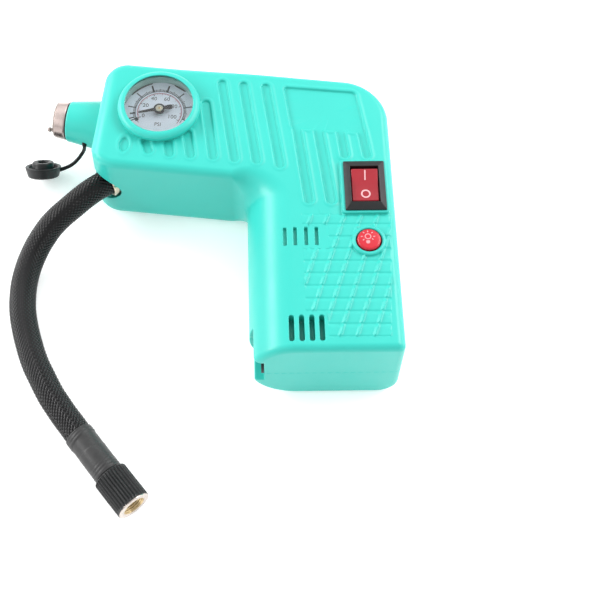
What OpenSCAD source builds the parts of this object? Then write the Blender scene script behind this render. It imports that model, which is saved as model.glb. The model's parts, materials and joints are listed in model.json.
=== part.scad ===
// Portable tire inflator: pistol-shaped housing with a gauge, rocker switch,
// nose lamp, air hose with a screw-on valve chuck, motor and piston compressor.
// Millimetres. +X right along the barrel, +Y towards the top of the barrel,
// +Z out of the front face; the rear face lies on z = 0.

/* [Housing] */
// Thickness of the whole housing, rear face to front face
body_t = 38; // [37.5:0.25:38.5]
// Wall thickness of both shells
wall = 2.2; // [2:0.1:2.4]
// Height of the parting plane above the rear face
part_z = 18.5; // [18.5:0.1:18.7]
// Edge radius round the front face
front_r = 3; // [2.5:0.25:3.5]
// Edge radius round the rear face of the barrel
rear_r = 6; // [5:0.5:6.5]
// Lean of the handle, in degrees
lean = 7.1; // [7.1:0.1:7.1]

/* [Gauge] */
// Outer radius of the hood round the gauge
hood_r = 15.9; // [15.4:0.1:16.2]
// Radius of the opening over the dial
gauge_open_r = 12.6; // [12:0.1:12.6]
// Height of the hood's rim
hood_z = 42; // [42:0.1:42.5]

/* [Switch and button] */
// Width of the rocker switch frame
switch_w = 15.2; // [14.8:0.1:15.6]
// Length of the rocker switch frame
switch_l = 21.2; // [20.8:0.1:21.6]
// Radius of the light button
button_r = 4.4; // [4:0.1:4.4]
// Travel of the light button
button_travel = 1.2; // [0.8:0.1:1.2]

/* [Hose and chuck] */
// Outer radius of the air hose
hose_r = 5.15; // [4.8:0.05:5.15]
// Outer radius of the knurled chuck nut
chuck_r = 6.45; // [6:0.05:6.45]
// Radius of the chuck's threaded bore
chuck_bore_r = 3.6; // [3.5:0.05:3.7]

/* [Compressor] */
// Radius of the motor can
motor_r = 13.85; // [13:0.05:13.85]
// Radius of the cylinder bore
bore_r = 7; // [6.8:0.1:7]
// Throw of the crank
crank_r = 5; // [4.5:0.1:5]

/* [Hidden] */

teal = [0.36, 0.88, 0.84];
// offset that puts the origin under the middle of the object
ox = 18.34;
oy = -14.25;

module at_origin() { translate([ox, oy, 0]) children(); }
// handle frame: u across the handle, v up along it
module handle_frame() { at_origin() rotate([0, 0, lean]) children(); }

// ---------- outline of the housing ----------
// edges in order: bottom, right, top, nose, underside, grip front
edge_a = [270 + lean, lean, 90, 180, 270, 180 + lean];
edge_c = [46.2, 53.75, 74, 64.7, -24.8, 0.7];
corner_r = [3, 3, 16, 7, 10, 6];
// corner k lies between edge k-1 and edge k; corner 5 is the inside corner
function en(k) = [cos(edge_a[k]), sin(edge_a[k])];

// how far each edge steps in at height z, front half
function arc_in(a, b, t) = t <= 0 ? 0 : a * (1 - sqrt(max(0, 1 - (t / b) * (t / b))));
function front_in(z) = let (n = arc_in(front_r, front_r, z - (body_t - front_r)))
    [arc_in(2.5, 2.5, z - (body_t - 2.5)), n, n, n, n, arc_in(16, 18, z - (body_t - 18))];
// and rear half
function rear_in(z) = let (n = arc_in(rear_r, rear_r, rear_r - z))
    [arc_in(2.5, 2.5, 2.5 - z), arc_in(8, 8, 8 - z), n, n, n, arc_in(18, 17, 17 - z)];

function meet(k, ins, shift) = let (j = (k + 5) % 6, a = en(j), b = en(k),
    p = edge_c[j] - ins[j] - shift, q = edge_c[k] - ins[k] - shift, d = a[0] * b[1] - a[1] * b[0])
    [(p * b[1] - q * a[1]) / d, (q * a[0] - p * b[0]) / d];
NC = 6;
function ring(ins, z) = [for (k = [0:5]) let (j = (k + 5) % 6, m = min(ins[j], ins[k]),
    hollow = k == 5, r = hollow ? corner_r[k] + m : max(0.3, corner_r[k] - m),
    c = meet(k, ins, hollow ? -r : r), a0 = edge_a[j],
    turn = hollow ? -(90 - lean) : (k == 2 ? 90 - lean : 90), s = hollow ? -1 : 1)
    for (i = [0:NC]) let (a = a0 + turn * i / NC) [c[0] + s * r * cos(a), c[1] + s * r * sin(a), z]];
function plus(v, w) = [for (x = v) x + w];

function flat(l) = [for (a = l) for (b = a) b];
function tube_faces(m, n) = concat([[for (k = [0:n - 1]) k]], [[for (k = [n - 1:-1:0]) (m - 1) * n + k]],
    [for (i = [0:m - 2]) for (k = [0:n - 1]) let (k2 = (k + 1) % n) [i * n + k, (i + 1) * n + k, (i + 1) * n + k2]],
    [for (i = [0:m - 2]) for (k = [0:n - 1]) let (k2 = (k + 1) % n) [i * n + k, (i + 1) * n + k2, i * n + k2]]);
module loft(rings) { polyhedron(flat(rings), tube_faces(len(rings), len(rings[0]))); }

front_z = [part_z, 20, 23, 26, 28.8, 31.3, 33.4, 35, 36.3, 37.2, 37.75, 38];
rear_z = [0, 0.3, 1, 2.2, 4, 6, 8.2, 10.5, 13.5, 17, part_z];
module front_outer() { loft([for (z = front_z) let (f = z * body_t / 38) ring(front_in(f), f)]); }
module front_inner() {
    loft([for (z = concat([part_z - 0.5], front_z)) let (f = z * body_t / 38,
        zi = part_z + (f - part_z) * (body_t - wall - part_z) / (body_t - part_z))
        ring(plus(front_in(max(f, part_z)), wall), zi)]);
}
module rear_outer() { loft([for (z = rear_z) ring(rear_in(z), z)]); }
module rear_inner() {
    loft([for (z = concat(rear_z, [part_z + 0.5])) let (zi = part_z + (z - part_z) * (part_z - wall) / part_z)
        ring(plus(rear_in(min(z, part_z)), wall), zi)]);
}

// ---------- shallow blind slots, shared by both shells ----------
// each: [x0, y0, x1, y1, radius]
gauge_at = [-40.9, 52];
barrel_slots = [
    [-51.6, 33.0, -52.0, 35.6, 1.75],
    [-42.8, 32.8, -44.2, 36.2, 1.6],
    [-34.8, 32.3, -36.0, 36.8, 1.6],
    [-26.8, 32.4, -29.2, 41.6, 1.6],
    [-18.0, 32.4, -24.1, 57.6, 1.6],
    [-9.5, 32.6, -18.2, 66.6, 1.6],
    [-1.1, 32.8, -9.8, 66.6, 1.6],
    [7.8, 31.8, -1.1, 66.6, 1.6]];
panel_slots = [
    [12.4, 47.4, 20.0, 17.4, 1.6],
    [20.6, 48.2, 28.2, 18.2, 1.7],
    [29.1, 48.2, 31.7, 38.8, 1.5],
    [37.4, 48.8, 40.0, 39.6, 1.4]];
module slot(s, z0, z1) {
    hull() {
        translate([s[0], s[1], z0]) cylinder(r = s[4], h = z1 - z0, $fn = 14);
        translate([s[2], s[3], z0]) cylinder(r = s[4], h = z1 - z0, $fn = 14);
    }
}
module slots(z0, z1) {
    for (s = barrel_slots) slot(s, z0, z1);
    for (s = panel_slots) slot(s, z0, z1);
}
upper_vents = [12.7, 16.4, 20.4, 24.2];
lower_vents = [14, 17.6, 21.2, 24.7];
// the upper row is blind, the lower row goes through the wall
module blind_vents(z0, z1) { for (u = upper_vents) rotate([0, 0, lean]) translate([u - 0.73, -4.8, z0]) cube([1.46, 7.9, z1 - z0]); }
module open_vents(z0, z1) { for (u = lower_vents) rotate([0, 0, lean]) translate([u - 0.92, -42.6, z0]) cube([1.85, 10, z1 - z0]); }
// screw places, clear of everything inside
screw_at = [[-55, 67.3], [-46.6, 30.9], [-10, 67.3], [38.5, 65.5], [24, -18], [46, -12], [34.6, -35]];
exit_at = [-61.4, 27.0, 18.5];
exit_a = 220.8;
module exit_frame() { translate(exit_at) rotate([0, 0, exit_a]) rotate([0, 90, 0]) children(); }

module shell_holes() {
    // nose opening for the lamp sleeve
    translate([-70, 55, 19]) rotate([0, 90, 0]) cylinder(r = 8.05, h = 10, $fn = 48);
    // hose opening through the lower nose corner
    exit_frame() translate([0, 0, -7]) cylinder(r = 6.95, h = 14, $fn = 40);
    // notch for the power plug, open at the foot, and the jack's seat
    rotate([0, 0, lean]) translate([-6, -49, 13.3]) cube([10.4, 16.5, 13.6]);
    rotate([0, 0, lean]) translate([3, -41.7, 19.3]) rotate([0, 90, 0]) cylinder(r = 3.9, h = 14, $fn = 32);
}
module notch_block() { rotate([0, 0, lean]) translate([-2, -46.6, 11.2]) cube([8.6, 16.2, 17.8]); }

switch_at = [42.8, 19.7];
button_at = [43, -3.3];
module pad_outline() {
    hull() for (p = [[35.1, 9.1], [50.6, 9.1], [50.6, 30.4], [35.1, 30.4]]) translate(p) circle(r = 1.1, $fn = 16);
}

module front_shell() {
    color(teal) at_origin() difference() {
        union() {
            difference() {
                union() {
                    difference() {
                        front_outer();
                        front_inner();
                    }
                    intersection() {
                        front_outer();
                        union() {
                            for (p = screw_at) translate([p[0], p[1], part_z]) cylinder(r = 3.2, h = 19, $fn = 24);
                            notch_block();
                        }
                    }
                }
                // recessed panel at the rear of the barrel
                translate([0, 0, body_t - 0.8]) linear_extrude(2)
                    polygon([[5.8, 67.5], [33.4, 68], [37.5, 55], [38, 50.5], [9, 48.8], [8.4, 52]]);
                slots(body_t - 0.8, 45);
            }
            // hood round the gauge, over the ends of the slots
            translate([gauge_at[0], gauge_at[1], body_t - 0.3]) rotate_extrude($fn = 72)
                polygon([[12, 0], [hood_r, 0], [hood_r, hood_z - body_t - 0.7], [hood_r - 0.3, hood_z - body_t - 0.1],
                    [hood_r - 1.1, hood_z - body_t + 0.3], [12, hood_z - body_t + 0.3]]);
            // raised pad under the switch and boss round the button
            rotate([0, 0, lean]) translate([0, 0, body_t - wall]) linear_extrude(wall + 1.3) pad_outline();
            rotate([0, 0, lean]) translate([button_at[0], button_at[1], body_t - wall]) cylinder(r = 6.1, h = wall + 0.9, $fn = 40);
        }
        translate([gauge_at[0], gauge_at[1], 30]) cylinder(r = 13.6, h = hood_z - 0.7 - 30, $fn = 72);
        translate([gauge_at[0], gauge_at[1], 30]) cylinder(r = gauge_open_r, h = 20, $fn = 72);
        rotate([0, 0, lean]) translate([switch_at[0] - 6.6, switch_at[1] - 9.7, 30]) cube([13.2, 19.4, 15]);
        rotate([0, 0, lean]) translate([button_at[0], button_at[1], 30]) cylinder(r = button_r + 0.3, h = 15, $fn = 40);
        blind_vents(body_t - 1.6, 45);
        open_vents(30, 45);
        shell_holes();
        for (p = screw_at) translate([p[0], p[1], part_z - 1]) cylinder(r = 1.36, h = 11, $fn = 24);
    }
}

module rear_shell() {
    color(teal) at_origin() difference() {
        union() {
            difference() {
                rear_outer();
                rear_inner();
            }
            intersection() {
                rear_outer();
                union() {
                    for (p = screw_at) translate([p[0], p[1], -1]) cylinder(r = 4.1, h = part_z + 1, $fn = 28);
                    notch_block();
                }
            }
        }
        slots(-3, 0.8);
        blind_vents(-3, 1.6);
        open_vents(-3, 4.5);
        shell_holes();
        for (p = screw_at) {
            translate([p[0], p[1], -1]) cylinder(r = 3.1, h = 6, $fn = 28);
            translate([p[0], p[1], 1]) cylinder(r = 1.5, h = 20, $fn = 24);
        }
    }
}

module housing_screws() {
    color("silver") at_origin() for (p = screw_at) translate([p[0], p[1], 0]) difference() {
        union() {
            translate([0, 0, 3.2]) cylinder(r = 2.8, h = 1.8, $fn = 32);
            translate([0, 0, 4]) cylinder(r = 1.3, h = 23, $fn = 32);
        }
        for (a = [0, 90]) rotate([0, 0, a]) translate([-1.5, -0.3, 3]) cube([3, 0.6, 1]);
    }
}

// ---------- nose lamp, along -X from the nose face ----------
// s counts forward from the nose face
nose_tilt = 3.2;
module nose_frame() { at_origin() translate([-64.7, 54.5, 19]) rotate([0, 0, -nose_tilt]) rotate([0, -90, 0]) children(); }
module nose_sleeve() {
    color(teal) difference() {
        union() {
            difference() {
                nose_frame() rotate_extrude($fn = 64) polygon([[0, -1.5], [10.26, -1.5], [8.15, 13.5], [7.9, 14], [0, 14]]);
                at_origin() translate([-64.7, 30, 0]) cube([20, 50, 40]);
            }
            at_origin() translate([-64.8, 55, 19]) rotate([0, 90, 0]) cylinder(r = 7.95, h = 3.3, $fn = 64);
        }
        nose_frame() translate([0, 0, -6]) cylinder(r = 6.6, h = 21, $fn = 64);
    }
}
module lamp_bezel() {
    color("silver") nose_frame() rotate_extrude($fn = 64)
        polygon([[5.6, 5], [6.5, 5], [6.5, 14.5], [7.55, 14.5], [7.65, 15.4], [7.2, 19], [6.7, 19.5], [5.9, 19.5], [5.6, 19.2]]);
}
module bezel_stud() {
    color("silver") nose_frame() translate([1.42, -6.14, 18.9]) cylinder(r = 0.9, h = 2.6, $fn = 32);
}
module lamp_lens() {
    color([0.9, 0.95, 1, 0.5]) nose_frame() translate([0, 0, 17.3]) cylinder(r = 5.55, h = 1.1, $fn = 64);
}
module lamp_reflector() {
    color("silver") nose_frame() rotate_extrude($fn = 64)
        polygon([[2.2, 10.4], [3.3, 12.2], [4.5, 14.6], [5.1, 17.2], [5.5, 17.2], [5.5, 16.6], [4.95, 14.3], [3.9, 12], [3, 10.4]]);
}
module lamp_led() {
    color("ivory") nose_frame() union() {
        translate([0, 0, 8.8]) cylinder(r = 5.5, h = 1.4, $fn = 48);
        translate([0, 0, 10.1]) cylinder(r = 1.9, h = 1.3, $fn = 32);
        translate([0, 0, 11.4]) intersection() {
            sphere(r = 1.6, $fn = 32);
            translate([-2, -2, -0.2]) cube([4, 4, 2.5]);
        }
    }
}

// ---------- tethered rubber cap beside the nose ----------
cap_at = [-88.2, 39.8, 8];
module cap_frame() { at_origin() translate(cap_at) rotate([0, 0, 6.3]) rotate([-43.6, 0, 0]) children(); }
module dust_cap() {
    color([0.1, 0.1, 0.11]) cap_frame() rotate_extrude($fn = 64)
        polygon([[0, -4.2], [5.8, -4.2], [6.2, -3.8], [7.1, -0.5], [7.2, -0.2], [6.9, 0.1], [6.2, 0.1], [5.8, -0.2],
            [5.6, -1.2], [4.5, -1.2], [4.2, 1.5], [3.9, 1.9], [2.5, 1.9], [2.1, 1.5], [2.1, -2.2], [0, -2.2]]);
}
strap_path = [[-71.4, 47.6, 15.4], [-71.5, 47.2, 14.2], [-72.1, 46.6, 12.6], [-73.1, 45.7, 11], [-74.3, 44.5, 9.3],
    [-75.8, 43.2, 8], [-77.4, 42.1, 7.1], [-79.1, 41.2, 6.6], [-80.6, 40.3, 6.6], [-82.2, 39.6, 6.8]];

// ---------- swept round tube ----------
function unit(v) = v / norm(v);
function tang(p, i) = unit(p[min(i + 1, len(p) - 1)] - p[max(i - 1, 0)]);
function sweep_rings(p, r, n) = [for (i = [0:len(p) - 1]) let (t = tang(p, i), s = unit(cross(t, [0, 0, 1])), w = cross(t, s))
    [for (k = [0:n - 1]) p[i] + r * (cos(360 * k / n) * s + sin(360 * k / n) * w)]];
module swept(p, r, n) { loft(sweep_rings(p, r, n)); }

module cap_strap() { color([0.1, 0.1, 0.11]) at_origin() swept(strap_path, 0.62, 8); }

// ---------- gauge ----------
needle_a = 199.1;
module gauge_frame() { at_origin() translate([gauge_at[0], gauge_at[1], 0]) children(); }
module gauge_case() {
    color("dimgray") gauge_frame() rotate_extrude($fn = 96)
        polygon([[2.6, 28.5], [13.4, 28.5], [13.4, 40.1], [12.6, 40.1], [12.6, 37], [11.6, 37], [11.6, 35.8], [12.4, 35], [12.4, 30], [2.6, 30]]);
}
module gauge_dial() {
    color("white") gauge_frame() difference() {
        translate([0, 0, 37]) cylinder(r = 12.5, h = 0.5, $fn = 96);
        translate([0, 0, 36]) cylinder(r = 0.8, h = 3, $fn = 24);
    }
}
module gauge_needle() {
    color("black") gauge_frame() rotate([0, 0, needle_a]) difference() {
        union() {
            translate([0, 0, 38]) cylinder(r = 1.7, h = 0.5, $fn = 48);
            translate([0, 0, 38.1]) linear_extrude(0.3)
                polygon([[-4.4, -0.4], [-3.9, -0.68], [0, -0.68], [7.6, -0.1], [8, 0], [7.6, 0.1], [0, 0.68], [-3.9, 0.68], [-4.4, 0.4]]);
        }
        translate([0, 0, 37]) cylinder(r = 0.55, h = 4, $fn = 24);
    }
}
module gauge_spindle() {
    color("silver") gauge_frame() union() {
        translate([0, 0, 34.6]) cylinder(r = 0.55, h = 4, $fn = 32);
        translate([0, 0, 38.5]) cylinder(r = 1.45, h = 0.35, $fn = 48);
    }
}
module gauge_lens() {
    color([0.9, 0.95, 1, 0.4]) gauge_frame() translate([0, 0, 40.2]) cylinder(r = 13.3, h = 1, $fn = 96);
}
module bourdon_tube() {
    color("darkgoldenrod") gauge_frame() union() {
        rotate([0, 0, -60]) translate([0, 0, 32.6]) rotate_extrude(angle = 275, $fn = 72) translate([9.2, 0]) square([1.2, 2.6], center = true);
        rotate([0, 0, -60]) translate([8.2, -1.8, 30.6]) cube([2, 2.6, 3.4]);
        rotate([0, 0, -60]) translate([-1.8, -1.8, 30.1]) cube([12, 2.6, 1.0]);
    }
}
module gauge_stem() {
    color("darkgoldenrod") gauge_frame() difference() {
        union() {
            translate([0, 0, 22.5]) cylinder(r = 2.5, h = 7.5, $fn = 32);
            translate([0, 0, 25.4]) cylinder(r = 4.2, h = 3.1, $fn = 48);
        }
        translate([0, 0, 22]) cylinder(r = 0.9, h = 7.5, $fn = 24);
    }
}

// ---------- rocker switch ----------
pivot_z = 37;
module switch_place() { handle_frame() translate([switch_at[0], switch_at[1], 0]) children(); }
module switch_frame() {
    color([0.22, 0.23, 0.25]) switch_place() difference() {
        union() {
            translate([0, 0, body_t + 1.3]) linear_extrude(1.2) square([switch_w, switch_l], center = true);
            translate([-6.5, -9.6, 23]) cube([13, 19.2, body_t + 1.4 - 23]);
        }
        translate([-5.15, -7.65, 24.5]) cube([10.3, 15.3, 30]);
        translate([-5.9, 0, pivot_z]) rotate([0, 90, 0]) cylinder(r = 0.97, h = 11.8, $fn = 32);
    }
}
// rocker profile along the handle, tilted so the lower end is pressed (off)
rock_half = 6;
module switch_rocker() {
    color([0.82, 0.2, 0.26]) switch_place() translate([0, 0, pivot_z]) rotate([rock_half, 0, 0]) union() {
        intersection() {
            translate([-4.9, 0, 0]) rotate([90, 0, 90]) linear_extrude(9.8)
                polygon([[-8, 3.1 + 8 * tan(rock_half)], [0, 3.1], [8, 3.1 + 8 * tan(rock_half)], [8, -0.5], [2.2, -6], [-2.2, -6], [-8, -0.5]]);
            translate([-6, 0, 0]) rotate([0, 90, 0]) cylinder(r = 7.5, h = 12, $fn = 96);
        }
        translate([-5.8, 0, 0]) rotate([0, 90, 0]) cylinder(r = 0.9, h = 11.6, $fn = 32);
    }
}
module switch_terminals() {
    color("darkgoldenrod") switch_place() for (y = [-6, 0, 6]) translate([-2.4, y - 0.4, 15.5]) cube([4.8, 0.8, 7.5]);
}

// ---------- light button ----------
module button_place() { handle_frame() translate([button_at[0], button_at[1], 0]) children(); }
module light_button() {
    color([0.86, 0.2, 0.22]) button_place() rotate_extrude($fn = 64)
        polygon(concat([[0, 29.4], [1.4, 29.4], [1.4, 33.8], [5.3, 33.8], [5.3, 34.6], [button_r, 34.6], [button_r, 39.3]],
            [for (i = [1:6]) let (a = 15 * i) [button_r - 0.9 * (1 - cos(a)), 39.3 + 0.7 * sin(a)]], [[0, 40.15]]));
}
module button_body() {
    color([0.15, 0.15, 0.16]) button_place() rotate_extrude($fn = 64)
        polygon([[1.48, 27.5], [6.3, 27.5], [6.3, 35.6], [5.6, 35.6], [5.6, 29], [1.48, 29]]);
}
coil_turns = 4;
spring_path = [for (i = [0:coil_turns * 14]) let (a = i * 360 / 14) [2.7 * cos(a), 2.7 * sin(a), 29.27 + 4.26 * i / (coil_turns * 14)]];
module button_spring() { color("silver") button_place() swept(spring_path, 0.25, 6); }

// ---------- hose ----------
hose_path = [[-58, 29.95, 18.5], [-61.4, 27, 18.5], [-64.4, 24.4, 18.2], [-67.8, 21.2, 17.4], [-71.5, 17.3, 16.3],
    [-75.4, 13.4, 14.85], [-78.5, 9.8, 13.2], [-80.9, 6.1, 11.4], [-82.8, 2.4, 9.7], [-84.2, -1.4, 8.2],
    [-85.2, -5.3, 7], [-85.7, -9.3, 6.1], [-85.8, -13.3, 5.5], [-85.4, -17.5, 5.25], [-84.7, -21.7, 5.2],
    [-83.6, -25.9, 5.2], [-82.2, -29.9, 5.2], [-80.6, -33.9, 5.2], [-78.8, -37.9, 5.2], [-76.9, -41.8, 5.2],
    [-74.7, -45.7, 5.2], [-72.2, -49.4, 5.2], [-69.6, -53.2, 5.2], [-66.9, -56.9, 5.2], [-63.8, -60.5, 5.25],
    [-60.8, -63.9, 5.35], [-57.5, -67.3, 5.5], [-54.4, -70.6, 5.75]];
sleeve_path = [[-54.4, -70.6, 5.75], [-50.1, -75, 6.1], [-45.7, -79.6, 6.45], [-43, -82.35, 6.65], [-40.6, -84.8, 6.7]];
module hose_fitting() {
    color("silver") at_origin() exit_frame() difference() {
        union() {
            translate([0, 0, -5.4]) cylinder(r = 6.6, h = 4.4, $fn = 64);
            translate([0, 0, -8.2]) cylinder(r = 4.6, h = 3, $fn = 6);
            translate([0, 0, -14]) cylinder(r = 2.3, h = 6.5, $fn = 32);
        }
        translate([0, 0, -4.6]) cylinder(r = 5.35, h = 6, $fn = 64);
        translate([0, 0, -15]) cylinder(r = 1.1, h = 11, $fn = 24);
    }
}
module hose() { color([0.16, 0.17, 0.18]) at_origin() swept(hose_path, hose_r, 12); }
module hose_sleeve() { color([0.1, 0.1, 0.1]) at_origin() swept(sleeve_path, 5.55, 12); }

// ---------- chuck, s along its axis from the sleeve's end ----------
chuck_a = -44.7;
module chuck_frame() { at_origin() translate([-40.6, -84.8, 6.7]) rotate([0, 0, chuck_a]) rotate([0, 90, 0]) children(); }
module chuck_stem() {
    color("goldenrod") chuck_frame() difference() {
        union() {
            cylinder(r = 3, h = 2.6, $fn = 48);
            translate([0, 0, 2.5]) cylinder(r = 4.3, h = 1.6, $fn = 48);
        }
        translate([0, 0, -1]) cylinder(r = 0.8, h = 7, $fn = 24);
        translate([1.9, 0, 2]) cylinder(r = 0.4, h = 4, $fn = 16);
    }
}
module chuck_nut() {
    color([0.13, 0.14, 0.17]) chuck_frame() rotate_extrude($fn = 72)
        polygon([[3.07, 0.3], [6.15, 0.3], [chuck_r, 0.7], [chuck_r, 14.1], [6.25, 14.3], [4.8, 14.3], [4.8, 6.6], [4.6, 6.6], [4.6, 2.1], [3.07, 2.1]]);
}
module chuck_insert() {
    color("goldenrod") chuck_frame() difference() {
        union() {
            translate([0, 0, 6.6]) cylinder(r = 4.8, h = 8.1, $fn = 64);
            translate([0, 0, 14.3]) cylinder(r = 6.2, h = 0.4, $fn = 64);
        }
        translate([0, 0, 6]) cylinder(r = chuck_bore_r, h = 10, $fn = 64);
    }
}
module chuck_seal() {
    color([0.12, 0.12, 0.12]) chuck_frame() difference() {
        translate([0, 0, 4.5]) cylinder(r = 4.5, h = 2.0, $fn = 48);
        translate([0, 0, 4]) cylinder(r = 1.7, h = 4, $fn = 32);
    }
}
module depressor_pin() {
    color("goldenrod") chuck_frame() translate([0, 0, 4.1]) cylinder(r = 1.1, h = 2.2, $fn = 32);
}

// ---------- motor, along Y ----------
motor_x = 18.5;
shaft_z = 19;
gear_x = 1.25;
// things turned about an axis along +Y: local z runs along +Y
module along_y(x) { at_origin() translate([x, 0, shaft_z]) rotate([-90, 0, 0]) children(); }
module motor_can() {
    color("silver") along_y(motor_x) rotate_extrude($fn = 96)
        polygon([[3.4, 27.5], [3.4, 26.5], [12.9, 26.5], [12.9, -8], [motor_r, -8], [motor_r, 27.5]]);
}
module motor_endcap() {
    color([0.15, 0.15, 0.16]) along_y(motor_x) rotate_extrude($fn = 96)
        polygon([[1.67, -10.5], [6, -10.5], [6, -9.6], [motor_r, -9.6], [motor_r, -8], [12.85, -8], [12.85, -6.6], [4, -6.6], [1.67, -6.6]]);
}
module motor_magnets() {
    color([0.25, 0.25, 0.27]) along_y(motor_x) for (a = [20, 200]) rotate([0, 0, a]) translate([0, 0, -2])
        rotate_extrude(angle = 140, $fn = 72) translate([10.4, 0]) square([2.45, 26]);
}
module motor_armature() {
    color([0.55, 0.42, 0.3]) along_y(motor_x) union() {
        translate([0, 0, -12]) cylinder(r = 1.6, h = 49, $fn = 32);
        difference() {
            cylinder(r = 9.9, h = 22, $fn = 72);
            for (a = [0, 72, 144, 216, 288]) rotate([0, 0, a]) translate([7.2, -0.7, -1]) cube([4, 1.4, 24]);
        }
        translate([0, 0, -5]) cylinder(r = 3.4, h = 4, $fn = 32);
    }
}

// ---------- gears ----------
gear_m = 0.75;
function inv(a) = tan(a) * 180 / PI - a;
function half_th(n, r, back) = let (rb = gear_m * n / 2 * cos(20))
    90 / n - back + inv(20) - (r > rb ? inv(acos(rb / r)) : 0);
function gear_pts(n, ro, rr, back, a0) = [for (i = [0:n - 1]) let (c = a0 + 360 * i / n, rb = gear_m * n / 2 * cos(20),
    rs = [rr, max(rr, rb), (max(rr, rb) + ro) / 2, ro])
    each concat([for (j = [0:3]) let (a = c - half_th(n, rs[j], back)) rs[j] * [cos(a), sin(a)]],
        [for (j = [3:-1:0]) let (a = c + half_th(n, rs[j], back)) rs[j] * [cos(a), sin(a)]])];
module drive_pinion() {
    color("goldenrod") along_y(motor_x) translate([0, 0, 31]) difference() {
        linear_extrude(6) polygon(gear_pts(12, 5.2, 3.45, 0.9, 15));
        translate([0, 0, -1]) cylinder(r = 1.6, h = 8, $fn = 32);
    }
}
module drive_gear() {
    color([0.9, 0.9, 0.85]) along_y(gear_x) difference() {
        union() {
            translate([0, 0, 32]) linear_extrude(4) polygon(gear_pts(34, 13.4, 11.7, 0.3, 0));
            translate([0, 0, 30.3]) cylinder(r = 3.6, h = 5.7, $fn = 48);
            translate([crank_r, 0, 33]) cylinder(r = 1.25, h = 4, $fn = 32);
        }
        translate([0, 0, 28]) cylinder(r = 2.06, h = 12, $fn = 48);
    }
}
module gear_axle() { color("silver") along_y(gear_x) translate([0, 0, 28]) cylinder(r = 2, h = 8.3, $fn = 48); }

// ---------- compressor ----------
cyl_y = 39.4;
module along_x() { at_origin() translate([0, cyl_y, shaft_z]) rotate([0, 90, 0]) children(); }
module compressor_frame() {
    color([0.7, 0.72, 0.74]) difference() {
        at_origin() union() {
            difference() {
                translate([-15, 28, 7]) cube([46.4, 2, 24]);
                translate([motor_x, 27, shaft_z]) rotate([-90, 0, 0]) cylinder(r = 4, h = 4, $fn = 48);
                translate([gear_x, 27, shaft_z]) rotate([-90, 0, 0]) cylinder(r = 2, h = 4, $fn = 48);
            }
            difference() {
                translate([-15, 28.5, 8]) cube([2, 20.4, 22]);
                translate([-20, cyl_y, shaft_z]) rotate([0, 90, 0]) cylinder(r = 8.55, h = 10, $fn = 72);
            }
        }
    }
}
module cylinder_barrel() {
    color("silver") along_x() difference() {
        union() {
            translate([0, 0, -30.3]) cylinder(r = 8.5, h = 17.4, $fn = 72);
            for (x = [-28, -25.4, -22.8, -20.2, -17.6]) translate([0, 0, x]) cylinder(r = 9.2, h = 1, $fn = 72);
        }
        translate([0, 0, -31]) cylinder(r = bore_r, h = 20, $fn = 72);
    }
}
wrist_x = -15.75;
module piston() {
    color([0.75, 0.76, 0.78]) along_x() difference() {
        translate([0, 0, wrist_x - 4]) cylinder(r = bore_r - 0.07, h = 6.8, $fn = 72);
        translate([-5, -2.4, wrist_x - 2.2]) cube([10, 4.8, 6]);
        translate([0, 7.5, wrist_x]) rotate([90, 0, 0]) cylinder(r = 1.05, h = 15, $fn = 32);
    }
}
module wrist_pin() {
    color("silver") at_origin() translate([wrist_x, cyl_y - 6, shaft_z]) rotate([-90, 0, 0]) cylinder(r = 1.05, h = 12, $fn = 32);
}
module piston_rod() {
    color([0.8, 0.8, 0.82]) at_origin() difference() {
        union() {
            translate([gear_x + crank_r, 37.4, shaft_z]) rotate([-90, 0, 0]) cylinder(r = 2.9, h = 4, $fn = 48);
            translate([wrist_x, 37.4, shaft_z]) rotate([-90, 0, 0]) cylinder(r = 1.95, h = 4, $fn = 48);
            translate([wrist_x + 1.5, 37.9, shaft_z - 1.3]) cube([gear_x + crank_r - wrist_x - 3.5, 3, 2.6]);
        }
        translate([gear_x + crank_r, 37, shaft_z]) rotate([-90, 0, 0]) cylinder(r = 1.32, h = 5, $fn = 32);
        translate([wrist_x, 37, shaft_z]) rotate([-90, 0, 0]) cylinder(r = 1.11, h = 5, $fn = 32);
    }
}
module cylinder_head() {
    color("silver") along_x() difference() {
        union() {
            translate([0, 0, -33.8]) cylinder(r = 8.9, h = 3.5, $fn = 72);
            translate([0, 0, -35.8]) cylinder(r = 5, h = 2.1, $fn = 48);
            translate([0, 0, -39.3]) cylinder(r = 1.9, h = 3.6, $fn = 32);
            translate([0, 0, -32.05]) rotate([-90, 0, 0]) cylinder(r = 1.5, h = 11.4, $fn = 32);
        }
        translate([0, 0, -40]) cylinder(r = 0.8, h = 7.8, $fn = 24);
        translate([0, 5, -32.05]) rotate([-90, 0, 0]) cylinder(r = 0.7, h = 8, $fn = 24);
        for (a = [45:90:315]) rotate([0, 0, a]) translate([7.3, 0, -36]) cylinder(r = 0.65, h = 8, $fn = 24);
    }
}
module head_screws() {
    color("silver") along_x() for (a = [45:90:315]) rotate([0, 0, a]) translate([7.3, 0, 0]) {
        translate([0, 0, -35]) cylinder(r = 1.15, h = 1.2, $fn = 24);
        translate([0, 0, -33.8]) cylinder(r = 0.6, h = 3.5, $fn = 24);
    }
}
module air_line() {
    color([0.15, 0.15, 0.16]) at_origin() union() {
        swept([[-39.5, 39.4, 19], [-42, 39.3, 19], [-44.5, 39, 19], [-47.5, 38.5, 19], [-49.4, 37.6, 18.8], [-50.8, 36.15, 18.5]], 1.6, 10);
        swept([[-32.05, 50.95, 19], [-32.3, 53.4, 19], [-33.6, 55.2, 19.2], [-36, 56, 19.6], [-38.8, 55, 20.2], [-40.3, 53.4, 20.7], [-40.9, 51.9, 21.1]], 1.4, 10);
    }
}

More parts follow.
